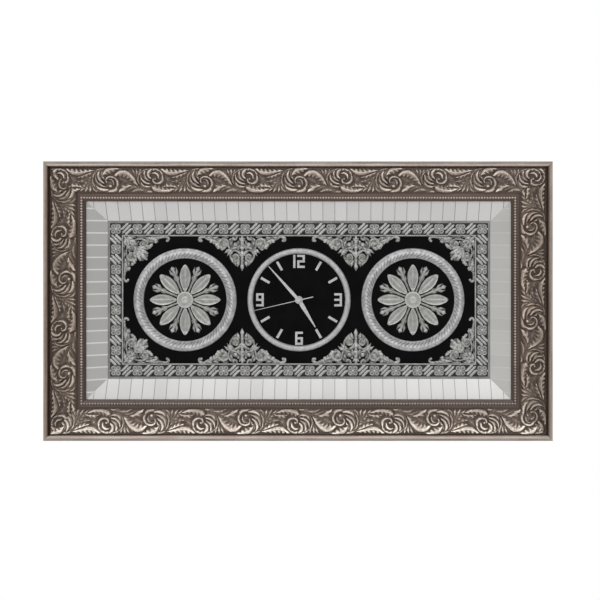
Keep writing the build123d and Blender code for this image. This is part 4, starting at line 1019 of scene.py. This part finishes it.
# x to the side of the middle, y down from the field's edge; the far half is mirrored
middleStrokes = [
    ([(0, -0.5), (0, 8), (0, 15), (0, 24)], (1.4, 2.1, 2.2, 1.7)), ([(0, 17.6), (0, 18.6)], (2.8, 2.8)),
    ([(0, 4.6), (0, 6)], (2.9, 2.9)), ([(0, 24), (0, 28.4), (0, 32)], (1.7, 3.3, 2.1)),
    ([(0, 32), (0, 39), (0, 45), (0, 47.6), (0, 50.6), (0, 54.8)], (1.8, 1.9, 1.8, 2.8, 2.0, 0.3)),
]
middleSideStrokes = [
    ([(0.6, 8.4), (2.6, 6), (4.4, 3)], (1.3, 1.6, 0.8)),
    ([(0.6, 31.6), (2.8, 28.6), (6, 25), (11.4, 22)], (1.4, 2.0, 1.6, 1.2)),
    ([(10.4, 22), (15.6, 24), (18.4, 28.4), (18.2, 33.4), (15.6, 38.4), (11.8, 43), (8.6, 46.4)],
     (1.1, 1.3, 1.4, 1.3, 1.3, 1.2, 0.6)),
    ([(15, 36), (12.4, 39.2), (8.6, 39), (5.8, 35.8), (6.2, 31.4), (9.6, 28.8), (13, 30.6), (13.4, 34.2),
      (10.8, 35.6), (9.2, 33.6)], (0.9, 1.2, 1.3, 1.3, 1.3, 1.2, 1.1, 0.9)),
    ([(4.2, 38.6), (6.4, 43.4), (7.2, 48.6)], (0.8, 2.2, 0.2)),
    ([(11, 39.6), (10.4, 43), (8.4, 46.6)], (0.8, 1.5, 0.3)),
    ([(16.4, 21.6), (19.6, 25.4), (23.8, 31.4)], (1.2, 2.5, 0.3)),
    ([(17, 21), (22.8, 23), (28.4, 27)], (1.0, 2.2, 0.3)),
    ([(15.6, 22), (16.6, 26), (18.6, 29.6)], (0.8, 1.6, 0.3)),
    ([(1.6, 13.6), (8, 17.6), (13.6, 19.4), (18, 22)], (1.0, 1.3, 1.4, 1.2)),
    ([(10.2, 13.6), (10.8, 14)], (2.7, 2.7)), ([(5.6, 8.6), (6, 9)], (1.7, 1.7)),
    ([(5.8, 19.6), (6.2, 20)], (1.5, 1.5)),
    ([(19, 21.4), (21.8, 14.6), (22.6, 8.4), (28, 4.4), (34.4, 6.8), (36.2, 12.6), (32.4, 18), (26.8, 17.6),
      (24.8, 13), (28, 9.6), (31, 12)], (1.2, 1.5, 1.7, 1.6, 1.4, 1.1)),
    ([(28.2, 12.8), (28.8, 13.2)], (2.3, 2.3)),
    ([(33, 18.6), (36.6, 17.2), (40.4, 13.4)], (1.0, 3.0, 1.6)), ([(39.6, 13.4), (40.2, 14)], (2.7, 2.7)),
    ([(27, 19.4), (31.2, 20.6), (35, 20.2)], (0.8, 1.8, 0.4)),
    ([(36, 12), (41, 9.2), (47, 6.4), (54, 4.2), (60.6, 1.2)], (1.2, 1.8, 1.9, 1.6, 1.0)),
    ([(48.4, 7.6), (48.8, 8.6)], (2.6, 2.4)), ([(44, 10.4), (44.4, 11)], (1.9, 1.9)),
    ([(58, 0.8), (63, 1.2), (66.6, 3.4), (66.8, 6.6), (64.4, 7.6)], (1.2, 1.9, 2.0, 1.8, 1.4)),
    ([(64.2, 6.8), (64.6, 7.2)], (2.0, 2.0)),
    ([(8, 0.4), (9.4, 4.4), (13, 5.4), (14.8, 2.8), (12.4, 1.6)], (1.2, 1.4, 1.4, 1.1, 0.8)),
    ([(15, 8), (17.6, 11.4), (18.4, 15.6)], (0.7, 1.6, 0.4)),
    ([(17, 3), (19.4, 6.2), (20.6, 10)], (0.7, 1.5, 0.4)),
    ([(38, 1.2), (42.4, 3.2), (46, 2)], (0.9, 1.8, 0.7)), ([(48, 1), (52, 2.4), (56, 1)], (0.9, 1.6, 0.7)),
    ([(22, 2), (26, 1.2), (31, 1.6)], (0.7, 1.2, 0.5)),
    ([(3.2, 15.6), (4.4, 18.2), (8.4, 21.6)], (0.6, 1.2, 0.4)),
]
middleFill = [
    ([(10, 32), (11, 36), (8.6, 41.4)], (6.4, 6.0, 3.4)), ([(28.8, 11.4), (29.8, 11.8)], (7.4, 7.4)),
    ([(3.4, 28), (5.4, 24.6), (7, 21.4)], (2.6, 3.0, 1.6)),
    ([(5, 13.4), (10.4, 13.6), (16.4, 17.4)], (3.0, 4.2, 3.4)),
    ([(36, 8.6), (44, 5.8), (54, 3)], (5.2, 4.6, 2.4)), ([(12, 4), (18, 7), (21, 12)], (2.6, 2.8, 2.2)),
    ([(18, 23.4), (22, 26)], (3.6, 2.4)),
]
# corner: x and y from the field's corner; the other half is mirrored on the diagonal
cornerStrokes = [
    ([(0.5, 0.5), (10, 10), (20, 20)], (1.5, 1.9, 1.5)),
    ([(18, 18), (29.4, 29.4), (36.6, 36.6)], (1.2, 3.3, 1.6)), ([(6.4, 6.4), (7, 7)], (2.6, 2.6)),
    ([(19.6, 19.6), (20.2, 20.2)], (2.6, 2.6)),
]
cornerSideStrokes = [
    ([(18.6, 18), (31.4, 23.8), (38, 27.2)], (1.2, 3.2, 1.5)),
    ([(18.6, 17.4), (29.6, 18.4), (36.4, 20)], (1.2, 2.7, 1.2)),
    ([(3.6, 3.4), (9.6, 2.8), (16, 5.4)], (1.2, 2.9, 0.5)),
    ([(8, 7.4), (15.2, 7.8), (21, 12.4)], (1.2, 2.7, 0.5)),
    ([(10, 1.4), (15, 1.2), (20, 2.2)], (0.8, 1.6, 0.4)),
    ([(12, 11), (17, 12.6), (22, 16.6)], (0.8, 1.7, 0.5)),
    ([(14, 8), (20, 5.2), (28, 4.4), (35.6, 7.2), (38, 12.6), (33.8, 17.2), (28, 16), (26.4, 11.4), (30, 8.8),
      (32.8, 11.4)], (1.1, 1.5, 1.7, 1.7, 1.5, 1.1)),
    ([(30.8, 12.2), (31.2, 12.6)], (2.1, 2.1)), ([(36, 17.2), (40.6, 16.8), (45.6, 12)], (1.0, 2.9, 1.4)),
    ([(43.6, 13.8), (44.2, 14.4)], (2.7, 2.7)), ([(37.6, 19.2), (38, 19.6)], (2.1, 2.1)),
    ([(36, 3), (44, 3.6), (51, 6), (54, 9.4)], (1.2, 2.5, 2.3, 0.9)),
    ([(50.6, 8.6), (51.2, 9.2)], (2.5, 2.5)),
    ([(39, 8.4), (44, 8), (48.4, 9.8)], (0.8, 1.7, 0.5)),
    ([(44, 1.4), (54, 2.4), (62, 1.4), (68, 1.4), (71, 4), (69.4, 7.6)], (1.2, 1.8, 1.7, 1.8, 1.9, 1.6)),
    ([(68.6, 7), (69, 7.4)], (2.2, 2.2)), ([(22, 1.4), (28, 1.2), (35, 1.6)], (0.8, 1.4, 0.8)),
    ([(23.4, 9), (23.8, 9.4)], (1.7, 1.7)),
]
cornerFill = [
    ([(31, 11.6), (32, 12)], (6.8, 6.8)), ([(38, 6.4), (46, 5.6), (55, 4)], (5.2, 4.4, 2.2)),
    ([(9, 6), (16, 9), (21, 13)], (4.4, 4.4, 3.6)), ([(22, 20.4), (29, 25), (36, 31)], (5.0, 6.0, 3.6)),
]


def strokesMesh(strokes, name, swell, press=filigree["press"]):
    # strokes given in millimetres as seen from the front, x right and y up, laid out at the origin
    drawn = bpy.data.curves.new(name, "CURVE")
    drawn.dimensions = "3D"
    drawn.bevel_depth = 1.0 * mm
    drawn.bevel_resolution = filigree["sides"] - 1
    drawn.use_fill_caps = True
    for points, widths in strokes:
        curved = len(points) > 2
        run = smoothRun(points, filigree["curveSteps"]) if curved else np.array(points, float)
        halves = shareWidths(widths, len(run)) * swell
        if curved and max(widths) > filigree["teethFrom"]:
            halves[1:-1:2] *= 1 + filigree["teeth"]
            halves[2:-1:2] *= 1 - filigree["teeth"]
        # round the ends off with one short extra point
        ends = []
        for tip, near in ((0, 1), (-1, -2)):
            lead = run[tip] - run[near]
            ends.append(run[tip] + lead / np.linalg.norm(lead) * halves[tip] * filigree["endReach"])
        run = np.vstack((ends[0], run, ends[1]))
        halves = np.concatenate((halves[:1] * filigree["endThin"], halves, halves[-1:] * filigree["endThin"]))
        spline = drawn.splines.new("POLY")
        spline.points.add(len(run) - 1)
        for point, (x, y), half in zip(spline.points, run, halves):
            point.co = (x * mm, 0, y * mm, 1)
            point.radius = half
    piece = bpy.data.objects.new(name, drawn)
    bpy.context.collection.objects.link(piece)
    pickOnly(piece)
    bpy.ops.object.convert(target="MESH")
    piece = bpy.context.object
    points = readPoints(piece)
    points[:, 1] = np.where(points[:, 1] < 0, points[:, 1] * press, filigree["sink"] * mm)
    writePoints(piece, points)
    bpy.ops.object.shade_smooth_by_angle(angle=math.radians(60))
    return piece


def layFiligree(unit, places, name, replaced):
    # the unit is copied to each place, and turned over where the place is mirrored
    laid = []
    for x, z, flipX, flipZ in places:
        twin = copyOf(unit)
        points = readPoints(twin)
        points[:, 0] *= flipX
        points[:, 2] *= flipZ
        points += np.array((x * mm, panelFace, axisZ + z * mm))
        writePoints(twin, points)
        if flipX * flipZ < 0:
            twin.data.flip_normals()
        laid.append(twin)
    bpy.data.objects.remove(unit, do_unlink=True)
    whole = joinAll(laid, name)
    markRise(whole, -panelFace, filigree["full"] * mm)
    mountOn(whole, leafFinish, "silver", replaced)


def flipped(strokes, how):
    return [([how(*point) for point in points], widths) for points, widths in strokes]


def down(x, y):
    return x, -y


def downFlipped(x, y):
    return -x, -y


def acrossCorner(x, y):
    return y, -x


def makeUnit(name, strokes, sideStrokes, fill, other):
    # cords over a flat bed; the side strokes and the bed are laid a second time, mirrored
    cords = flipped(strokes + sideStrokes, down) + flipped(sideStrokes, other)
    bed = flipped(fill, down) + flipped(fill, other)
    parts = [strokesMesh(cords, name + "Cords", filigree[name + "Swell"]),
             strokesMesh(bed, name + "Bed", 1.0, filigree["fillPress"])]
    return joinAll(parts, name + "Unit")


ringPitch, fieldEdge = panel["ringPitch"], panel["fieldHalfTall"]
signs = [(sx, sz) for sx in (-1, 1) for sz in (-1, 1)]
layFiligree(makeUnit("middle", middleStrokes, middleSideStrokes, middleFill, downFlipped),
            [(sx * ringPitch / 2, sz * fieldEdge, 1, sz) for sx, sz in signs],
            "middleScrolls", "middle_ornaments")
layFiligree(makeUnit("corner", cornerStrokes, cornerSideStrokes, cornerFill, acrossCorner),
            [(sx * panel["fieldHalfWide"], sz * fieldEdge, -sx, sz) for sx, sz in signs],
            "cornerScrolls", "corner_ornaments")
print("filigree done")


# rope rings: a plain outer slope, a beaded ridge, slanting slots and a thin inner rim
ropeRing = {
    "radius": 81.0, "width": 16.2, "sink": 0.2, "turnSteps": 912, "ringSteps": 30, "archPower": 0.45,
    # across the ring, from -1 at its inner to 1 at its outer edge
    "ridgeAt": 0.06, "ridgeHalf": 0.17, "slotFrom": -0.84, "slotTo": 0.04, "slotFades": (0.12, 0.1),
    "scoreFrom": 0.3, "scoreFade": 0.2,
    # round the ring, as waves: how far each leans or is shifted, and the start and span of what is cut in
    "slots": 76, "slotLean": 8.4, "slotCut": (0.1, 0.7), "scoreLean": 5, "scoreCut": (0.4, 0.6),
    "beadShift": 0.42,
    # plain ring, then what the ridge, a slot and a faint score add to it
    "heights": (3.8, 0.55, -0.8, -0.2), "tones": (0.56, 0.54, -0.34, -0.14), "edgeTone": 0.45,
}


def makeRopeRing(x):
    # a torus, its section then set to the rim, the ridge and the slots
    deselectAll()
    centre = ropeRing["radius"] - ropeRing["width"] / 2
    bpy.ops.mesh.primitive_torus_add(
        major_segments=ropeRing["turnSteps"], minor_segments=ropeRing["ringSteps"], major_radius=centre * mm,
        minor_radius=ropeRing["width"] / 2 * mm)
    ring = bpy.context.object
    points = readPoints(ring) / mm
    angle = np.arctan2(points[:, 1], points[:, 0])
    radial = np.hypot(points[:, 0], points[:, 1]) - centre
    section = np.arctan2(points[:, 2], radial)
    q = np.cos(section)                            # -1 inner edge to 1 outer edge
    front = np.sin(section) >= -1e-6
    arch = np.sqrt(np.clip(1 - q * q, 0, 1))
    ridge = np.exp(-((q - ropeRing["ridgeAt"]) / ropeRing["ridgeHalf"]) ** 2)
    # one long bead stands beside the head of each slot
    turn = ropeRing["slots"] * angle
    bead = 0.5 - 0.5 * np.cos(turn + ropeRing["beadShift"])
    fadeIn, fadeOut = ropeRing["slotFades"]
    inside = ease(q, ropeRing["slotFrom"], fadeIn) * ease(-q, -ropeRing["slotTo"], fadeOut)
    slot = inside * ease(np.cos(turn + ropeRing["slotLean"] * q), *ropeRing["slotCut"])
    outside = ease(q, ropeRing["scoreFrom"], ropeRing["scoreFade"])
    score = outside * ease(np.cos(turn - ropeRing["scoreLean"] * q), *ropeRing["scoreCut"])
    plainHigh, ridgeHigh, slotHigh, scoreHigh = ropeRing["heights"]
    height = plainHigh + ridgeHigh * ridge * (1 + bead) + slotHigh * slot + scoreHigh * score
    reach = centre + q * ropeRing["width"] / 2
    out = np.where(front, arch ** ropeRing["archPower"] * height, -ropeRing["sink"])
    shaped = np.stack((reach * np.cos(angle) + x, -out, reach * np.sin(angle)), 1) * mm
    shaped += np.array((0, panelFace, axisZ))
    writePoints(ring, shaped)
    plainTone, ridgeTone, slotTone, scoreTone = ropeRing["tones"]
    rise = plainTone + ridgeTone * ridge * bead + slotTone * slot + scoreTone * score
    # darker towards both edges
    rise *= ropeRing["edgeTone"] + (1 - ropeRing["edgeTone"]) * np.sqrt(arch)
    markPoints(ring, "rise", np.clip(np.where(front, rise, 0), 0, 1))
    fixNormals(ring)
    bpy.ops.object.shade_smooth()
    return ring


ropeFinish = makeReliefFinish("ropeSilver", (84, 84, 84), (126, 126, 126), (194, 194, 194))
rings = joinAll([makeRopeRing(-ringPitch), makeRopeRing(ringPitch)], "ropeRings")
mountOn(rings, ropeFinish, "silver", "roundel_rings")
print("rope rings done")


# rosettes in the side rings; between each two petals stands a stem with a bud and two pairs of leaves
rosette = {
    "petals": 8, "start": 12.0, "reach": 56.0, "half": 9.6, "height": 2.6, "weld": 0.02,
    # a petal's outline: fullness, share of its width at the root and what that gains to the tip
    "fullness": 0.75, "rootWide": 0.8, "tipGain": 0.3,
    # its relief: shares of its height, then places and half widths as shares of its half width
    "bed": 0.34, "rim": 0.5, "rib": 0.55, "vein": 0.16,
    "foot": 0.02, "rimAt": 0.16, "rimHalf": 0.12, "rimEnds": 2.2, "ribHalf": 0.1, "ribFade": 0.5,
    "veins": 11, "veinLean": 2.2,
    "budRing": 52.0, "armSwell": 1.2,
    # a stem and its bud, then the leaves that stand on both sides:
    # distance from the bud ring and to the side, half widths
    "stem": [([(-40, 0), (-20.8, 0), (-3, 0)], (1.36, 1.7, 2.04)),
             ([(-2.6, 0), (1, 0), (4, 0)], (2.2, 3.52, 0.66))],
    "leaves": [([(-13, 0), (-6, 4.4), (1, 5.6)], (0.8, 1.9, 0.3)),
               ([(-22, 0), (-17, 2.6), (-11.5, 3.2)], (0.6, 1.3, 0.3))],
    # steps of the boss: inset, then rise
    "bossSteps": ((0, 2.2), (1.2, 0.5), (1.4, -1.2), (4.4, 0), (0.5, 1.4), (1.6, 0.5), (1.4, -1.0)),
    "boss": 13.0, "bossBevel": 0.25, "beads": 16, "beadRun": (8.2, 8.364), "bead": 1.25,
}


def makePetal():
    # a grid drawn to a pointed leaf with a raised rim, a midrib and fine side veins
    deselectAll()
    bpy.ops.mesh.primitive_grid_add(x_subdivisions=16, y_subdivisions=44, size=1.0)
    petal = bpy.context.object
    flat = readPoints(petal)
    q = flat[:, 1] + 0.5
    e = flat[:, 0] * 2
    wide = rosette["rootWide"] + rosette["tipGain"] * q
    half = rosette["half"] * np.sin(np.pi * np.clip(q, 0, 1)) ** rosette["fullness"] * wide
    r = rosette["start"] + q * (rosette["reach"] - rosette["start"])
    edge = np.minimum(1 - np.abs(e), rosette["rimEnds"] * np.minimum(q, 1 - q))
    rim = np.exp(-((edge - rosette["rimAt"]) / rosette["rimHalf"]) ** 2)
    rib = np.exp(-(e / rosette["ribHalf"]) ** 2)
    vein = 0.5 + 0.5 * np.cos(2 * math.pi * (q * rosette["veins"] - rosette["veinLean"] * np.abs(e)))
    out = rosette["bed"] + rosette["rim"] * rim + rosette["rib"] * rib * (1 - q * rosette["ribFade"])
    out = rosette["height"] * (out + rosette["vein"] * vein * (1 - rim))
    out = np.where(edge < rosette["foot"], -filigree["sink"], out)
    points = np.stack((e * half, -out, r), 1) * mm
    writePoints(petal, points)
    openMesh(petal)
    bpy.ops.mesh.remove_doubles(threshold=rosette["weld"] * mm)
    pickRim()
    fillRim(70)
    return petal


def makeBoss():
    # stepped disc: extruded and inset by turns
    deselectAll()
    bpy.ops.mesh.primitive_circle_add(vertices=48, radius=rosette["boss"] * mm, fill_type="NGON",
                                      rotation=(math.pi / 2, 0, 0))
    boss = bpy.context.object
    bpy.ops.object.transform_apply(location=True, rotation=True, scale=True)
    openMesh(boss)
    for inset, rise in rosette["bossSteps"]:
        if inset:
            bpy.ops.mesh.inset(thickness=inset * mm, depth=0)
        if rise:
            bpy.ops.mesh.extrude_region_move(TRANSFORM_OT_translate={"value": (0, -rise * mm, 0)})
    bpy.ops.object.mode_set(mode="OBJECT")
    bevel = boss.modifiers.new("soft", "BEVEL")
    bevel.width = rosette["bossBevel"] * mm
    bevel.segments = 2
    bevel.limit_method = "ANGLE"
    bpy.ops.object.modifier_apply(modifier="soft")
    fixNormals(boss)
    bpy.ops.object.shade_smooth_by_angle(angle=math.radians(40))
    return boss


def wayOut(turn):
    return np.array((math.cos(turn), math.sin(turn)))


def makeRosette(x):
    parts = [makeBoss()]
    petal = makePetal()
    count = rosette["petals"]
    for k in range(count):
        twin = copyOf(petal)
        twin.rotation_euler = (0, 2 * math.pi * k / count, 0)
        parts.append(twin)
    bpy.data.objects.remove(petal, do_unlink=True)
    strokes = []
    ring = rosette["budRing"]
    for k in range(count):
        tip = wayOut(math.pi / 2 - 2 * math.pi * (k + 0.5) / count)
        side = np.array((-tip[1], tip[0]))
        for kind, sign in (("stem", 1), ("leaves", -1), ("leaves", 1)):
            for places, widths in rosette[kind]:
                strokes.append(([tip * (ring + at) + side * sign * aside for at, aside in places], widths))
    for k in range(rosette["beads"]):
        tip = wayOut(2 * math.pi * k / rosette["beads"])
        strokes.append(([tip * at for at in rosette["beadRun"]], (rosette["bead"], rosette["bead"])))
    parts.append(strokesMesh(strokes, "rosetteArms", rosette["armSwell"]))
    whole = joinAll(parts, "rosette")
    points = readPoints(whole)
    points += np.array((x * mm, panelFace, axisZ))
    writePoints(whole, points)
    markRise(whole, -panelFace, rosette["height"] * mm)
    return whole


for name, side, node in (("rosetteLeft", -1, "rosette_left"), ("rosetteRight", 1, "rosette_right")):
    flower = makeRosette(side * ringPitch)
    rename(flower, name)
    mountOn(flower, castFinish, "silver", node)
print("rosettes done")


# studio: white surround, soft lamps, pale floor well below the hung clock
studio = {
    "fill": 0.36, "floorDrop": 1.25, "floorSize": 2.4,
    "camera": (0.065, -1.008, 0.0837), "sensor": 36.0, "lens": 37.67, "slide": -0.0674, "lift": -0.0892,
    "nearest": 0.02,
    "lamps": [  # place from the clock's middle, size, power
        ((-0.3, -2.3, 1.9), (8.0, 1.8), 126.0), ((0.0, -1.3, -1.05), (5.0, 1.0), 16.0),
        ((0.2, 1.4, 1.2), (1.2, 1.2), 8.0),
    ],
}


def setWorld():
    world = bpy.data.worlds.new("studioWorld")
    bpy.context.scene.world = world
    world.use_nodes = True
    tree = world.node_tree
    tree.nodes.clear()
    soft, bright = (tree.nodes.new("ShaderNodeBackground") for k in range(2))
    for ground, strength in ((soft, studio["fill"]), (bright, 1.0)):
        ground.inputs[0].default_value = white
        ground.inputs[1].default_value = strength
    path = tree.nodes.new("ShaderNodeLightPath")
    seen = addMath(tree, "MAXIMUM", path.outputs["Is Camera Ray"], path.outputs["Is Glossy Ray"])
    seen = addMath(tree, "MAXIMUM", seen, path.outputs["Is Transmission Ray"])
    both = tree.nodes.new("ShaderNodeMixShader")
    output = tree.nodes.new("ShaderNodeOutputWorld")
    tree.links.new(seen, both.inputs[0])
    tree.links.new(soft.outputs[0], both.inputs[1])
    tree.links.new(bright.outputs[0], both.inputs[2])
    tree.links.new(both.outputs[0], output.inputs[0])


def setFloor():
    deselectAll()
    below = cadLow.z - studio["floorDrop"]
    bpy.ops.mesh.primitive_plane_add(size=studio["floorSize"], location=(0, 0, below))
    floor = bpy.context.object
    floor.name = "studioFloor"
    finish, tree, shader, coords = startFinish("paleFloor")
    cloud = addNoise(tree, coords, 3.0, 2.0)
    tone = addRamp(tree, cloud, [(0.3, tint(238, 238, 237)), (0.7, tint(244, 244, 243))])
    setShader(tree, shader, tone, 0.8)
    floor.data.materials.append(finish)


def setLamps():
    target = Vector((0, 0, middleZ))
    for k, (place, size, power) in enumerate(studio["lamps"]):
        deselectAll()
        spot = target + Vector(place)
        bpy.ops.object.light_add(type="AREA", location=spot)
        lamp = bpy.context.object
        lamp.name = "softLamp" + str(k + 1)
        lamp.data.shape = "RECTANGLE"
        lamp.data.size, lamp.data.size_y = size
        lamp.data.energy = power
        lamp.rotation_euler = (target - spot).to_track_quat("-Z", "Y").to_euler()


def setCamera():
    deselectAll()
    x, y, z = studio["camera"]
    bpy.ops.object.camera_add(location=(x, y, middleZ + z), rotation=(math.pi / 2, 0, 0))
    camera = bpy.context.object
    camera.data.sensor_width = studio["sensor"]
    camera.data.lens = studio["lens"]
    camera.data.shift_x = studio["slide"]
    camera.data.shift_y = studio["lift"]
    camera.data.clip_start = studio["nearest"]
    bpy.context.scene.camera = camera


setWorld()
setFloor()
setLamps()
setCamera()
bpy.context.scene.view_settings.view_transform = "Standard"
deselectAll()
print("studio set")
